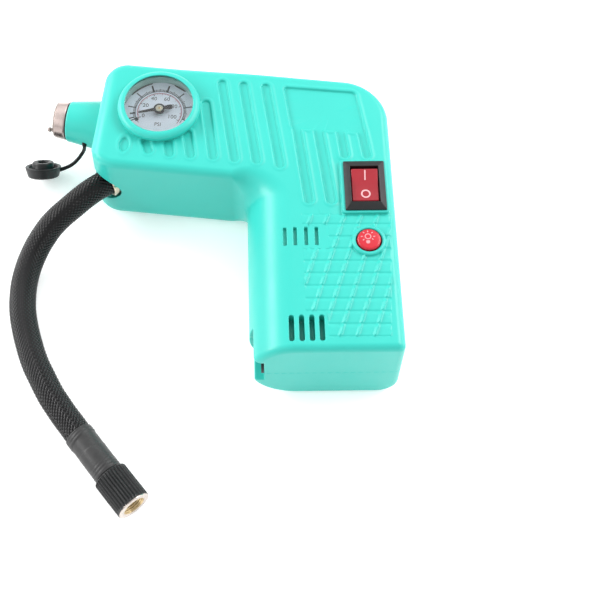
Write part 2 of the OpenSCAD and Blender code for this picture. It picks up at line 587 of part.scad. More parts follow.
// ---------- power inlet ----------
module jack_frame() { handle_frame() translate([0, -41.7, 19.3]) rotate([0, 90, 0]) children(); }
module dc_jack() {
    color([0.12, 0.12, 0.13]) jack_frame() difference() {
        union() {
            translate([0, 0, 3.4]) cylinder(r = 4.25, h = 1, $fn = 48);
            translate([0, 0, 4.4]) cylinder(r = 3.75, h = 11.6, $fn = 48);
        }
        translate([0, 0, 3]) cylinder(r = 3, h = 3.4, $fn = 48);
        translate([0, 0, 6]) cylinder(r = 2.75, h = 8, $fn = 48);
        translate([0, 0, 13]) cylinder(r = 1, h = 4, $fn = 32);
    }
}
module jack_pin() { color("silver") jack_frame() translate([0, 0, 7.2]) cylinder(r = 1, h = 10.3, $fn = 32); }
module wiring() {
    color([0.7, 0.1, 0.1]) at_origin() union() {
        swept([[23.3, -38.9, 19.4], [26, -36.5, 20.2], [28.5, -30, 20.6], [33, -22, 19], [38.5, -11, 16], [39.5, -2, 14], [39.4, 8, 13.4], [38.8, 17, 14.4]], 0.8, 8);
        swept([[22.6, -39.6, 16.8], [25, -39.2, 15], [28.8, -35, 12], [29.7, -27, 10.2], [30, -20, 10], [28.6, -13.2, 12], [26, -11.6, 14]], 0.8, 8);
    }
}

front_shell();
rear_shell();
housing_screws();
nose_sleeve();
lamp_bezel();
bezel_stud();
lamp_lens();
lamp_reflector();
lamp_led();
dust_cap();
cap_strap();
gauge_case();
gauge_dial();
gauge_needle();
gauge_spindle();
gauge_lens();
bourdon_tube();
gauge_stem();
switch_frame();
switch_rocker();
switch_terminals();
light_button();
button_body();
button_spring();
hose_fitting();
hose();
hose_sleeve();
chuck_stem();
chuck_nut();
chuck_insert();
chuck_seal();
depressor_pin();
motor_can();
motor_endcap();
motor_magnets();
motor_armature();
drive_pinion();
drive_gear();
gear_axle();
compressor_frame();
cylinder_barrel();
piston();
piston_rod();
wrist_pin();
cylinder_head();
head_screws();
air_line();
dc_jack();
jack_pin();
wiring();
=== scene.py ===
import json
import math
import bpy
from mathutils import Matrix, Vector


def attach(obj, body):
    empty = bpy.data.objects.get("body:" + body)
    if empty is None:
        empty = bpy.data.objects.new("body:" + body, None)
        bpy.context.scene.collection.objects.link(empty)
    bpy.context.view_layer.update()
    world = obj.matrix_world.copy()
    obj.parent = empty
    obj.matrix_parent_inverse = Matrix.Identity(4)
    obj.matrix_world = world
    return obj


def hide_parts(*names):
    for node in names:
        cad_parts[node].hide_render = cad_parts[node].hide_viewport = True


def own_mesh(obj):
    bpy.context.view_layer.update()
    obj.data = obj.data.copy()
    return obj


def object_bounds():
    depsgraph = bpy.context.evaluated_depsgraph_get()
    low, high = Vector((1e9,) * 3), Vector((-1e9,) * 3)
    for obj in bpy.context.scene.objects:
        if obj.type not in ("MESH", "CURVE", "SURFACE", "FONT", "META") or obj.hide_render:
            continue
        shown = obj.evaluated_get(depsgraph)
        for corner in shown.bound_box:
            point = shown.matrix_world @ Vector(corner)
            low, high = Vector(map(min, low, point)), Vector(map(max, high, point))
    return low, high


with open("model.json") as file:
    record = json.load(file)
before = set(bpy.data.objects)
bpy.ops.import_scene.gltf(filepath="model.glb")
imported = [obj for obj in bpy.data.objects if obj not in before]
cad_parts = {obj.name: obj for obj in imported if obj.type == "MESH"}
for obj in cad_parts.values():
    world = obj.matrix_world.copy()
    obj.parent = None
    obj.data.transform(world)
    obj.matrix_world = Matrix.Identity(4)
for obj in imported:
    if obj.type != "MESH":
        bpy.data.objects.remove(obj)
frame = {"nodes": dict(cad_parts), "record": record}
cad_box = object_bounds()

from concurrent.futures import ThreadPoolExecutor

import bpy
import numpy as np
from mathutils import Matrix, Vector

MM = 0.001
# the row frame is this far from the frame that the outline's numbers are in, in mm
OX, OY = 18.34, -14.25
LEAN = math.radians(7.1)
CL, SL = math.cos(LEAN), math.sin(LEAN)
scene = bpy.context.scene
scene.view_settings.view_transform = "Standard"


def deg(a):
    return math.radians(a)


# ------------------------------------------------------------------ camera
cam_data = bpy.data.cameras.new("camera")
cam_data.sensor_width = 36.0
cam_data.lens = 77.1
cam_data.shift_x = 50 / 600
cam_data.shift_y = -65 / 600
cam_data.clip_start, cam_data.clip_end = 0.01, 20
camera = bpy.data.objects.new("camera", cam_data)
scene.collection.objects.link(camera)
right = Vector((math.cos(deg(6.3)), math.sin(deg(6.3)), 0))
forward = Vector((-0.5 * math.sin(deg(6.3)), 0.5 * math.cos(deg(6.3)), -math.sin(deg(60))))
up = right.cross(forward)
turn = Matrix((right, up, -forward)).transposed()
camera.matrix_world = Matrix.Translation(Vector((25.62 + OX, -232.09 + OY, 442.43)) * MM) @ turn.to_4x4()
scene.camera = camera


# ------------------------------------------------------------------ materials
def node_tree(name):
    m = bpy.data.materials.new(name)
    m.use_nodes = True
    nt = m.node_tree
    return m, nt, nt.nodes["Principled BSDF"]


def link(nt, a, b):
    nt.links.new(a, b)


def coords(nt, scale=(1, 1, 1), rot=(0, 0, 0)):
    tc = nt.nodes.new("ShaderNodeTexCoord")
    mp = nt.nodes.new("ShaderNodeMapping")
    mp.inputs["Scale"].default_value = scale
    mp.inputs["Rotation"].default_value = rot
    link(nt, tc.outputs["Object"], mp.inputs["Vector"])
    return mp.outputs["Vector"]


def noise(nt, vec, scale, detail=3, rough=0.55):
    n = nt.nodes.new("ShaderNodeTexNoise")
    n.inputs["Scale"].default_value = scale
    n.inputs["Detail"].default_value = detail
    n.inputs["Roughness"].default_value = rough
    link(nt, vec, n.inputs["Vector"])
    return n.outputs["Fac"]


def ramp(nt, fac, lo, hi, c0, c1):
    r = nt.nodes.new("ShaderNodeValToRGB")
    r.color_ramp.elements[0].position, r.color_ramp.elements[1].position = lo, hi
    r.color_ramp.elements[0].color, r.color_ramp.elements[1].color = (*c0, 1), (*c1, 1)
    link(nt, fac, r.inputs["Fac"])
    return r.outputs["Color"]


def remap(nt, fac, a, b, lo=0.3, hi=0.7):
    r = nt.nodes.new("ShaderNodeMapRange")
    r.inputs["From Min"].default_value, r.inputs["From Max"].default_value = lo, hi
    r.inputs["To Min"].default_value, r.inputs["To Max"].default_value = a, b
    link(nt, fac, r.inputs["Value"])
    return r.outputs["Result"]


def bump(nt, height, strength, distance):
    b = nt.nodes.new("ShaderNodeBump")
    b.inputs["Strength"].default_value = strength
    b.inputs["Distance"].default_value = distance
    link(nt, height, b.inputs["Height"])
    return b.outputs["Normal"]


def plain(name, colour, rough, metal=0.0, vary=0.05, scale=220.0, grain=2600.0, lift=0.00001, stretch=(1, 1, 1),
          rough_vary=0.06, ior=1.5, coat=0.0, coat_rough=0.08, strength=0.25, subsurface=0.0):
    """Moulded, cast or rolled stuff: colour and roughness that vary a little, over a fine grain."""
    m, nt, p = node_tree(name)
    vec = coords(nt, stretch)
    big = noise(nt, vec, scale)
    lo = tuple(c * (1 - vary) for c in colour)
    hi = tuple(min(1.0, c * (1 + vary)) for c in colour)
    link(nt, ramp(nt, big, 0.32, 0.68, lo, hi), p.inputs["Base Color"])
    link(nt, remap(nt, noise(nt, vec, scale * 2.3), rough - rough_vary, rough + rough_vary), p.inputs["Roughness"])
    link(nt, bump(nt, noise(nt, vec, grain, 4), strength, lift), p.inputs["Normal"])
    p.inputs["Metallic"].default_value = metal
    p.inputs["IOR"].default_value = ior
    p.inputs["Coat Weight"].default_value = coat
    p.inputs["Coat Roughness"].default_value = coat_rough
    if subsurface:
        p.inputs["Subsurface Weight"].default_value = subsurface
        p.inputs["Subsurface Radius"].default_value = (0.3, 1.0, 0.9)
        p.inputs["Subsurface Scale"].default_value = 0.0012
    return m


def clear(name, colour, rough, ior=1.45):
    m, nt, p = node_tree(name)
    vec = coords(nt)
    link(nt, ramp(nt, noise(nt, vec, 120), 0.3, 0.7, tuple(c * 0.985 for c in colour), colour), p.inputs["Base Color"])
    link(nt, remap(nt, noise(nt, vec, 500), rough * 0.7, rough * 1.3), p.inputs["Roughness"])
    p.inputs["Transmission Weight"].default_value = 1.0
    p.inputs["IOR"].default_value = ior
    return m


MAT = {
    "teal_plastic": plain("teal_plastic", (0.030, 0.50, 0.43), 0.36, vary=0.018, scale=38, grain=4200, lift=0.000006, rough_vary=0.04, strength=0.2, ior=1.46),
    "steel": plain("steel", (0.55, 0.54, 0.52), 0.3, metal=1.0, vary=0.1, scale=300, grain=3000),
    "nickel": plain("nickel", (0.56, 0.50, 0.46), 0.24, metal=1.0, vary=0.10, scale=260, grain=2200, stretch=(6, 1, 1), rough_vary=0.07),
    "clear_plastic": clear("clear_plastic", (0.95, 0.985, 0.99), 0.03),
    "reflector": plain("reflector", (0.85, 0.85, 0.86), 0.12, metal=1.0, vary=0.03, scale=200, grain=1500),
    "white_ceramic": plain("white_ceramic", (0.85, 0.84, 0.79), 0.5, vary=0.04, scale=300),
    "dark_metal": plain("dark_metal", (0.22, 0.33, 0.32), 0.3, metal=0.6, vary=0.08, scale=260),
    "dial_print": plain("dial_print", (0.74, 0.77, 0.86), 0.42, vary=0.02, scale=110, grain=3500, lift=0.000004),
    "black_paint": plain("black_paint", (0.010, 0.010, 0.012), 0.45, vary=0.15, scale=500, ior=1.42),
    "brass": plain("brass", (0.56, 0.43, 0.24), 0.28, metal=1.0, vary=0.14, scale=420, grain=2600, rough_vary=0.08),
    "black_plastic": plain("black_plastic", (0.0115, 0.0125, 0.0132), 0.40, vary=0.12, scale=260, grain=5200, lift=0.00002, strength=0.35, ior=1.42),
    "red_plastic": plain("red_plastic", (0.60, 0.030, 0.050), 0.3, vary=0.05, scale=160, grain=3600, lift=0.00001),
    "hose_braid": plain("hose_braid", (0.0014, 0.0015, 0.002), 0.15, vary=0.3, scale=900, ior=1.36),
    "heat_shrink": plain("heat_shrink", (0.031, 0.031, 0.0315), 0.46, vary=0.12, scale=300, grain=1500, lift=0.00003, ior=1.42),
    "black_rubber": plain("black_rubber", (0.0045, 0.006, 0.007), 0.42, vary=0.15, scale=260, grain=3800, lift=0.00002, strength=0.35, ior=1.42),
    "armature_steel": plain("armature_steel", (0.44, 0.32, 0.24), 0.4, metal=1.0, vary=0.2, scale=500, stretch=(1, 8, 1)),
    "nylon": plain("nylon", (0.80, 0.78, 0.70), 0.45, vary=0.04, scale=240),
    "cast_aluminium": plain("cast_aluminium", (0.62, 0.62, 0.62), 0.42, metal=1.0, vary=0.08, scale=320, grain=1800, lift=0.00003),
    "wire_jacket": plain("wire_jacket", (0.45, 0.02, 0.02), 0.38, vary=0.06, scale=300),
}
record_slot = {s["node"]: s["material_slot"] for s in frame["record"]["subparts"]}
for name, o in frame["nodes"].items():
    o.data.materials.clear()
    o.data.materials.append(MAT[record_slot[name]])


# ------------------------------------------------------------------ making meshes
def shown(P):
    """mm in the outline's frame to metres in the row frame."""
    P = np.asarray(P, float)
    return (P + np.array([OX, OY, 0.0])) * MM


def add(name, verts, faces, body, slot, material=None, smooth=True, normals=None, replaces=(), sharp=None):
    me = bpy.data.meshes.new(name)
    verts = np.asarray(verts, float)
    me.from_pydata(verts.tolist(), [], [list(map(int, f)) for f in faces] if not isinstance(faces, np.ndarray) else faces.tolist())
    me.validate()
    me.materials.append(material or MAT[slot])
    me.polygons.foreach_set("use_smooth", np.full(len(me.polygons), smooth))
    o = bpy.data.objects.new(name, me)
    scene.collection.objects.link(o)
    if normals is not None:
        me.normals_split_custom_set_from_vertices(normals.tolist())
    elif sharp is not None:
        me.set_sharp_from_angle(angle=deg(sharp))
    me.update()
    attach(o, body)
    if replaces:
        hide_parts(*replaces)
    return o


def frame_at(origin, x, y, z):
    """Rows of a local frame: maps local mm to the outline's frame."""
    B = np.array([x, y, z], float)
    return lambda p: np.asarray(origin, float) + np.asarray(p, float) @ B


def fillet(points, radii, n=5, closed=True):
    """A profile's corners rounded, each by its own radius."""
    P = [np.array(p, float) for p in points]
    if not hasattr(radii, "__len__"):
        radii = [radii] * len(P)
    out = []
    for i, p in enumerate(P):
        if not closed and i in (0, len(P) - 1):
            out.append(p)
            continue
        a, b = P[i - 1], P[(i + 1) % len(P)]
        da, db = a - p, b - p
        la, lb = np.linalg.norm(da), np.linalg.norm(db)
        da, db = da / la, db / lb
        half = math.acos(max(-1, min(1, float(da @ db)))) / 2
        r = radii[i]
        if r <= 0 or half > deg(88) or half < deg(4):
            out.append(p)
            continue
        cut = min(r / math.tan(half), 0.45 * la, 0.45 * lb)
        r = cut * math.tan(half)
        c = p + (da + db) / np.linalg.norm(da + db) * (r / math.sin(half))
        s, e = p + da * cut - c, p + db * cut - c
        a0, a1 = math.atan2(s[1], s[0]), math.atan2(e[1], e[0])
        d = (a1 - a0 + math.pi) % (2 * math.pi) - math.pi
        for k in range(n + 1):
            t = a0 + d * k / n
            out.append(c + r * np.array([math.cos(t), math.sin(t)]))
    return np.array(out)


def lathe(profile, segs, at, ribs=None):
    """A closed profile of (radius, height) turned about the local z. Points on the axis become one vertex."""
    prof = np.asarray(profile, float)
    m = len(prof)
    th = np.arange(segs) * 2 * math.pi / segs
    verts, index = [], np.zeros((m, segs), int)
    for i, (r, z) in enumerate(prof):
        if abs(r) < 1e-9:
            index[i, :] = len(verts)
            verts.append((0, 0, z))
        else:
            rr = np.full(segs, r) if ribs is None else ribs(r, z, th)
            index[i, :] = np.arange(len(verts), len(verts) + segs)
            verts.extend(np.stack([rr * np.cos(th), rr * np.sin(th), np.full(segs, z)], 1).tolist())
    faces = []
    for i in range(m):
        j = (i + 1) % m
        if prof[i, 0] < 1e-9 and prof[j, 0] < 1e-9:
            continue
        a, b = index[i], index[j]
        for k in range(segs):
            q = (k + 1) % segs
            f = [a[k], a[q], b[q], b[k]]
            f = [v for n_, v in enumerate(f) if v not in f[:n_]]
            if len(f) > 2:
                faces.append(f)
    return shown(at(np.array(verts))), faces


def turned(name, profile, at, body, slot, segs=64, replaces=(), material=None, sharp=40, ribs=None, flip=False):
    v, f = lathe(profile, segs, at, ribs)
    o = add(name, v, f, body, slot, material, replaces=replaces, sharp=sharp)
    outward(o)
    return o


def outward(o):
    """Faces turned so that the solid's volume comes out positive."""
    me = o.data
    me.calc_loop_triangles()
    v = np.zeros(len(me.vertices) * 3)
    me.vertices.foreach_get("co", v)
    v = v.reshape(-1, 3)
    t = np.zeros(len(me.loop_triangles) * 3, int)
    me.loop_triangles.foreach_get("vertices", t)
    t = t.reshape(-1, 3)
    vol = np.einsum("ij,ij->i", v[t[:, 0]], np.cross(v[t[:, 1]], v[t[:, 2]])).sum()
    if vol < 0:
        me.flip_normals()


def frames_along(path):
    P = np.asarray(path, float)
    T = np.gradient(P, axis=0)
    T /= np.linalg.norm(T, axis=1)[:, None]
    N = np.zeros_like(P)
    n = np.cross(T[0], [0, 0, 1.0])
    N[0] = n / np.linalg.norm(n)
    for i in range(1, len(P)):
        n = N[i - 1] - T[i] * (N[i - 1] @ T[i])
        N[i] = n / np.linalg.norm(n)
    return P, T, N, np.cross(T, N)


def smooth_path(points, step):
    """A Catmull-Rom curve through the points, with even steps."""
    P = np.asarray(points, float)
    E = np.vstack([2 * P[0] - P[1], P, 2 * P[-1] - P[-2]])
    out = []
    for i in range(len(P) - 1):
        a, b, c, d = E[i:i + 4]
        t = np.linspace(0, 1, 24, endpoint=False)[:, None]
        out.append(0.5 * (2 * b + (c - a) * t + (2 * a - 5 * b + 4 * c - d) * t * t + (3 * b - a - 3 * c + d) * t ** 3))
    out = np.vstack(out + [P[-1:]])
    s = np.concatenate([[0], np.cumsum(np.linalg.norm(np.diff(out, axis=0), axis=1))])
    n = max(2, int(round(s[-1] / step)))
    u = np.linspace(0, s[-1], n + 1)
    return np.stack([np.interp(u, s, out[:, k]) for k in range(3)], 1), u


def tube(path, segs, radius):
    """A capped tube along even points; radius(s, th) gives mm."""
    P, u = path
    P, T, N, B = frames_along(P)
    th = np.arange(segs) * 2 * math.pi / segs
    S, TH = np.meshgrid(u, th, indexing="ij")
    R = radius(S, TH)
    V = P[:, None, :] + R[..., None] * (np.cos(TH)[..., None] * N[:, None, :] + np.sin(TH)[..., None] * B[:, None, :])
    n = len(P)
    idx = np.arange(n * segs).reshape(n, segs)
    q = np.roll(idx, -1, axis=1)
    faces = np.stack([idx[:-1], q[:-1], q[1:], idx[1:]], -1).reshape(-1, 4).tolist()
    verts = V.reshape(-1, 3).tolist() + [P[0].tolist(), P[-1].tolist()]
    a, b = n * segs, n * segs + 1
    for k in range(segs):
        j = (k + 1) % segs
        faces.append([a, idx[0, j], idx[0, k]])
        faces.append([b, idx[-1, k], idx[-1, j]])
    return shown(verts), faces, (S, TH)


# ------------------------------------------------------------------ hose, first of all
hose_points = [(-58, 29.95, 18.5), (-61.4, 27, 18.5), (-64.4, 24.4, 18.2), (-67.8, 21.2, 17.4), (-71.5, 17.3, 16.3),
    (-75.4, 13.4, 14.85), (-78.5, 9.8, 13.2), (-80.9, 6.1, 11.4), (-82.8, 2.4, 9.7), (-84.2, -1.4, 8.2),
    (-85.2, -5.3, 7), (-85.7, -9.3, 6.1), (-85.8, -13.3, 5.5), (-85.4, -17.5, 5.25), (-84.7, -21.7, 5.2),
    (-83.6, -25.9, 5.2), (-82.2, -29.9, 5.2), (-80.6, -33.9, 5.2), (-78.8, -37.9, 5.2), (-76.9, -41.8, 5.2),
    (-74.7, -45.7, 5.2), (-72.2, -49.4, 5.2), (-69.6, -53.2, 5.2), (-66.9, -56.9, 5.2), (-63.8, -60.5, 5.25),
    (-60.8, -63.9, 5.35), (-57.5, -67.3, 5.5), (-54.4, -70.6, 5.75), (-50.1, -75, 6.1), (-45.7, -79.6, 6.45), (-43, -82.35, 6.65), (-40.6, -84.8, 6.7)]
HOSE_R = 5.15
route = smooth_path(hose_points, 0.27)
hose_length = float(route[1][-1])
sleeve_start = hose_length - 20.3


def braid(S, TH):
    """Plain weave of 20 glossy yarns each way, crossing at about 45 degrees."""
    pitch, n = 1.65, 20
    a = TH * n / (2 * math.pi) + S / pitch
    b = TH * n / (2 * math.pi) - S / pitch
    i, j = np.floor(a), np.floor(b)
    ta, tb = a - i - 0.5, b - j - 0.5
    even = np.where((i + j) % 2 == 0, 1.0, -1.0)
    over = 0.19
    ha = over * np.cos(math.pi * tb) * even - 0.44 * (2 * ta) ** 2
    hb = -over * np.cos(math.pi * ta) * even - 0.44 * (2 * tb) ** 2
    h = np.maximum(ha, hb)
    r = HOSE_R - over + h
    # squeezed smooth where the ferrule and the shrink sleeve hold it
    held = np.clip((S - sleeve_start - 0.8) / 0.8, 0, 1)
    held = np.maximum(held, np.clip((1.6 - S) / 0.8, 0, 1))
    return r * (1 - held) + 4.75 * held


hv, hf, (hS, hT) = tube(route, 128, braid)
exit_dir = (math.cos(deg(220.8)), math.sin(deg(220.8)))
ferrule_at = frame_at(hose_points[1], (0, 0, 1.0), (-exit_dir[1], exit_dir[0], 0), (exit_dir[0], exit_dir[1], 0))
turned("hose_ferrule", fillet([(1.1, -14), (2.3, -14), (2.3, -8.2), (5.0, -8.2), (5.0, -5.6), (6.1, -5.6), (6.3, -5.3), (6.3, -3.1), (6.05, -2.8), (5.5, -2.8),
                               (5.3, -3.0), (5.3, -4.6), (1.1, -4.6)], [0, 0.2, 0.1, 0.2, 0.1, 0.1, 0.1, 0.2, 0.2, 0.15, 0.1, 0, 0], 3), ferrule_at, "housing", "steel",
       segs=72, replaces=["hose_fitting"], material=plain("ferrule_brass", (0.66, 0.56, 0.44), 0.26, metal=1.0, vary=0.08, scale=420, grain=2600))
hose = add("air_hose", hv, hf, "housing", "hose_braid", replaces=["hose"])
outward(hose)

# the shrink sleeve: slightly wider than the hose, wrinkled where it was gathered
sleeve_points = [(-54.9, -70.07, 5.72), (-54.4, -70.6, 5.75), (-50.1, -75, 6.1), (-45.7, -79.6, 6.45), (-43, -82.35, 6.65), (-40.6, -84.8, 6.7)]
sleeve_route = smooth_path(sleeve_points[1:], 0.16)
SLEEVE_LEN = float(sleeve_route[1][-1])


def shrink(S, TH):
    r = np.full(S.shape, 5.36)
    # a step where the tube was folded back near the hose end, and a gather before the nut
    r += 0.10 * np.tanh((3.6 + 0.5 * np.sin(TH + 1.0) - S) / 0.25) * (S < 9)
    wr = np.exp(-((S - 2.0) / 1.6) ** 2) + np.exp(-((S - SLEEVE_LEN + 2.2) / 1.8) ** 2)
    r += 0.055 * wr * np.sin(5.2 * S + 1.7 * np.sin(2 * TH + 0.6) + 0.9 * np.sin(3 * TH))
    r += 0.035 * np.sin(2 * TH + 0.35 * S) + 0.03 * np.sin(3 * TH - 0.22 * S + 1.0)
    r -= 0.5 * np.exp(-(S / 0.22) ** 2) + 0.35 * np.exp(-((SLEEVE_LEN - S) / 0.25) ** 2)
    return np.minimum(r, 5.54)


sv, sf, _ = tube(sleeve_route, 96, shrink)
shrink_sleeve = add("shrink_sleeve", sv, sf, "housing", "heat_shrink", replaces=["hose_sleeve"])
outward(shrink_sleeve)

# ------------------------------------------------------------------ chuck
ca = deg(-44.7)
chuck_x = np.array([math.cos(ca), math.sin(ca), 0.0])
chuck_at = frame_at((-40.6, -84.8, 6.7), (0, 0, 1.0), (-chuck_x[1], chuck_x[0], 0), chuck_x)
RIBS = 32


def nut_ribs(r, z, th):
    if r < 5.2:
        return np.full(len(th), r)
    ends = min(1.0, max(0.0, (z - 0.55) / 0.3)) * min(1.0, max(0.0, (14.2 - z) / 0.25))
    c = 0.5 + 0.5 * np.cos(RIBS * th)
    return r - 0.5 * ends * (1 - c ** 0.8)


nut_profile = np.vstack([
    fillet([(3.07, 0.3), (6.2, 0.3), (6.45, 0.6)], [0, 0.15, 0], 3, closed=False),
    [(6.45, z) for z in np.linspace(0.8, 14.0, 18)],
    fillet([(6.42, 14.2), (6.22, 14.3), (4.82, 14.3), (4.82, 6.6), (4.6, 6.6), (4.6, 2.1), (3.07, 2.1)],
           [0, 0.08, 0, 0.1, 0, 0, 0], 3, closed=False)])
nut = turned("chuck_nut_ribbed", nut_profile, chuck_at, "chuck", "black_plastic", segs=RIBS * 10, ribs=nut_ribs,
             replaces=["chuck_nut"], sharp=55)


def insert_mesh():
    """Brass bush with a cut internal thread."""
    segs, pitch = 72, 0.8
    th = np.arange(segs) * 2 * math.pi / segs
    outer = fillet([(4.3, 14.62), (4.78, 14.62), (4.8, 6.6)], [0, 0.05, 0], 3, closed=False)
    rows = [np.full(segs, r) for r, z in outer]
    zs = [np.full(segs, z) for r, z in outer]
    inner_z = np.linspace(6.6, 14.7, 100)
    for z in inner_z:
        ph = (z / pitch - th / (2 * math.pi)) % 1.0
        tri = np.abs(2 * ph - 1)
        r = 3.62 + 0.34 * tri * min(1, (z - 6.6) / 0.5)
        r = np.maximum(r, 3.62 + max(0.0, (z - 14.0)) * 0.8)
        rows.append(np.minimum(r, 4.2))
        zs.append(np.full(segs, z))
    R, Z = np.array(rows), np.array(zs)
    V = np.stack([R * np.cos(th), R * np.sin(th), Z], -1)
    n = len(R)
    idx = np.arange(n * segs).reshape(n, segs)
    q = np.roll(idx, -1, axis=1)
    faces = [[idx[i, k], q[i, k], q[(i + 1) % n, k], idx[(i + 1) % n, k]] for i in range(n) for k in range(segs)]
    return shown(chuck_at(V.reshape(-1, 3))), faces


iv, iff = insert_mesh()
insert = add("chuck_thread_bush", iv, iff, "chuck", "brass", replaces=["chuck_insert"], sharp=50)
outward(insert)
rim = turned("chuck_end_ring", fillet([(4.12, 14.3), (6.2, 14.3), (6.2, 14.7), (4.28, 14.7)], [0, 0.02, 0.12, 0.12], 3), chuck_at, "chuck", "nickel",
             segs=96, replaces=["chuck_insert"], sharp=50)

tuple(shown(hose_points[1]))
shown(route[0]).tolist()


# ------------------------------------------------------------------ shells, as distance functions in mm
def rint(a, b, r):
    return np.minimum(-r, np.maximum(a, b)) + np.hypot(np.maximum(r + a, 0), np.maximum(r + b, 0))


def runi(a, b, r):
    return -rint(-a, -b, r)


def ell(d, f, a, b):
    """Side d and face f joined by a quarter ellipse that steps in a and down b."""
    u, v = np.maximum(d + a, 0) / a, np.maximum(f + b, 0) / b
    L = np.sqrt(u * u + v * v)
    g = np.sqrt((u / a) ** 2 + (v / b) ** 2)
    return np.where(L > 0.02, (L - 1) * L / np.maximum(g, 1e-6), np.maximum(d, f))


def capsule(x, y, x0, y0, x1, y1, r):
    dx, dy = x1 - x0, y1 - y0
    t = np.clip(((x - x0) * dx + (y - y0) * dy) / (dx * dx + dy * dy), 0, 1)
    return np.hypot(x - x0 - t * dx, y - y0 - t * dy) - r


def rbox(x, y, cx, cy, hx, hy, r):
    a, b = np.abs(x - cx) - hx + r, np.abs(y - cy) - hy + r
    return np.hypot(np.maximum(a, 0), np.maximum(b, 0)) + np.minimum(np.maximum(a, b), 0) - r


def convex(x, y, pts, r):
    """Signed distance to a convex polygon (counter-clockwise), rounded by r."""
    d = None
    n = len(pts)
    for i in range(n):
        (ax, ay), (bx, by) = pts[i], pts[(i + 1) % n]
        ex, ey = bx - ax, by - ay
        L = math.hypot(ex, ey)
        e = ((x - ax) * ey - (y - ay) * ex) / L
        d = e if d is None else rint(d, e, r)
    return d


def step(t):
    t = np.clip(t, 0, 1)
    return t * t * (3 - 2 * t)


def uv(x, y):
    return x * CL + y * SL, -x * SL + y * CL


EDGES = {"bottom": (277.1, 46.2), "right": (7.1, 53.75), "top": (90, 74.0), "nose": (180, 64.7), "under": (270, -24.8), "left": (187.1, 0.7)}


def edge(k, x, y):
    a, c = EDGES[k]
    return math.cos(deg(a)) * x + math.sin(deg(a)) * y - c


SLOTS = [(-42.3, 32.8, -43.7, 36.2, 1.6), (-34.2, 32.3, -35.4, 36.8, 1.6), (-26.2, 32.5, -28.7, 41.6, 1.6),
         (-17.6, 32.8, -23.4, 56.3, 1.62), (-9.5, 32.6, -18.2, 66.6, 1.62), (-1.1, 32.8, -9.8, 66.6, 1.62), (7.8, 31.8, -1.1, 66.6, 1.62)]
PANEL = [(5.8, 67.6), (10.6, 48.6), (38.6, 49.6), (33.6, 68.1)]
PANEL_SLOTS = [(12.4, 50.0, 20.0, 17.5, 1.6), (20.6, 50.0, 28.2, 18.4, 1.7), (29.1, 50.0, 31.7, 38.8, 1.5), (37.2, 50.0, 39.95, 39.6, 1.4)]
SCREWS = [(-55, 67.3), (-46.6, 30.9), (-10, 67.3), (38.5, 65.5), (24, -18), (46, -12), (34.6, -35)]


def recess(d, depth, rim, wall=0.5):
    """Sunk inside the outline d, with a soft raised lip round it."""
    inside = step(0.5 - d / wall)
    lip = rim * np.exp(-((d - 0.85) / 0.6) ** 2) * step((d + 0.1) / 0.5)
    return -depth * inside + lip


def relief(x, y, front):
    """Height of the sunk slots, panel and grip pattern on either face."""
    u, v = uv(x, y)
    d = None
    for q in SLOTS:
        e = capsule(x, y, *q)
        d = e if d is None else np.minimum(d, e)
    oval = np.hypot((x + 51.8) / 1.78, (y - 34.3) / 3.05) * 1.9 - 1.9
    d = np.minimum(d, oval)
    p = convex(x, y, PANEL, 1.4)
    for q in PANEL_SLOTS:
        p = runi(p, capsule(x, y, *q), 0.35)
    d = np.minimum(d, p)
    H = recess(d, 0.78, 0.2 if front else 0.0)
    # grip pattern: lines across the handle, and ridges that lean
    right = 51.9 - (8.4 - v) * 0.066
    left = np.where(v > 4.25, 19.0, np.where(v > -6.0, 28.5, np.where(v > -31.2, 19.2, 27.0)))
    inside = np.minimum(np.minimum(u - left, right - u), np.minimum(8.5 - v, v + 41.3))
    vv = v + 0.0136 * (u - 34)
    g = np.full(np.broadcast(u, v).shape, -9.0)
    for q in (4.1, -1.1, -6.1, -11.15, -16.2, -21.25, -26.35, -31.35, -36.35, -41.2, 8.5):
        e = vv - q
        g = np.where(np.abs(e) < np.abs(g), e, g)
    k = (u - 0.331 * v - 32.1) / 6.1
    lean = (k - np.round(k)) * 6.1 * 0.949
    line = np.where(g > 0, np.exp(-(g / 0.42) ** 2), np.exp(-(g / 0.75) ** 2))
    ridge = np.where(lean > 0, np.exp(-(lean / 0.40) ** 2), np.clip(1 + lean / 0.95, 0, 1))
    body = step(inside / 0.3 + 0.5)
    if front:
        return H + body * (0.10 - 0.20 * line * (1 - 0.9 * ridge) + 0.62 * ridge * (1 - 0.75 * line))
    return H - body * np.minimum(0.34 * line + 0.30 * ridge, 0.36)


def blind_vents(x, y):
    u, v = uv(x, y)
    d = None
    for c in (12.7, 16.4, 20.4, 24.2):
        e = rbox(u, v, c, -0.7, 0.62, 3.7, 0.2)
        d = e if d is None else np.minimum(d, e)
    return d


def open_vents(x, y):
    u, v = uv(x, y)
    d = None
    for c in (14.0, 17.6, 21.2, 24.7):
        e = rbox(u, v, c, -37.6, 0.92, 5.0, 0.9)
        d = e if d is None else np.minimum(d, e)
    return d


def outline(x, y):
    """Distances to the nose and top, to the top and back, and to the underside and grip front, with their corners."""
    nose, top, und, back, left = (edge(k, x, y) for k in ("nose", "top", "under", "right", "left"))
    low = runi(rint(nose, und, 10), left, 6)
    t = np.maximum(6 - left, 0) / (np.maximum(6 - und, 0) + np.maximum(6 - left, 0) + 1e-6)
    w = np.maximum(16 + back, 0) / (np.maximum(16 + back, 0) + np.maximum(16 + top, 0) + 1e-6)
    return rint(nose, top, 9), rint(top, back, 16), low, step(t), step(w)


GAUGE = (-40.9, 52.0)


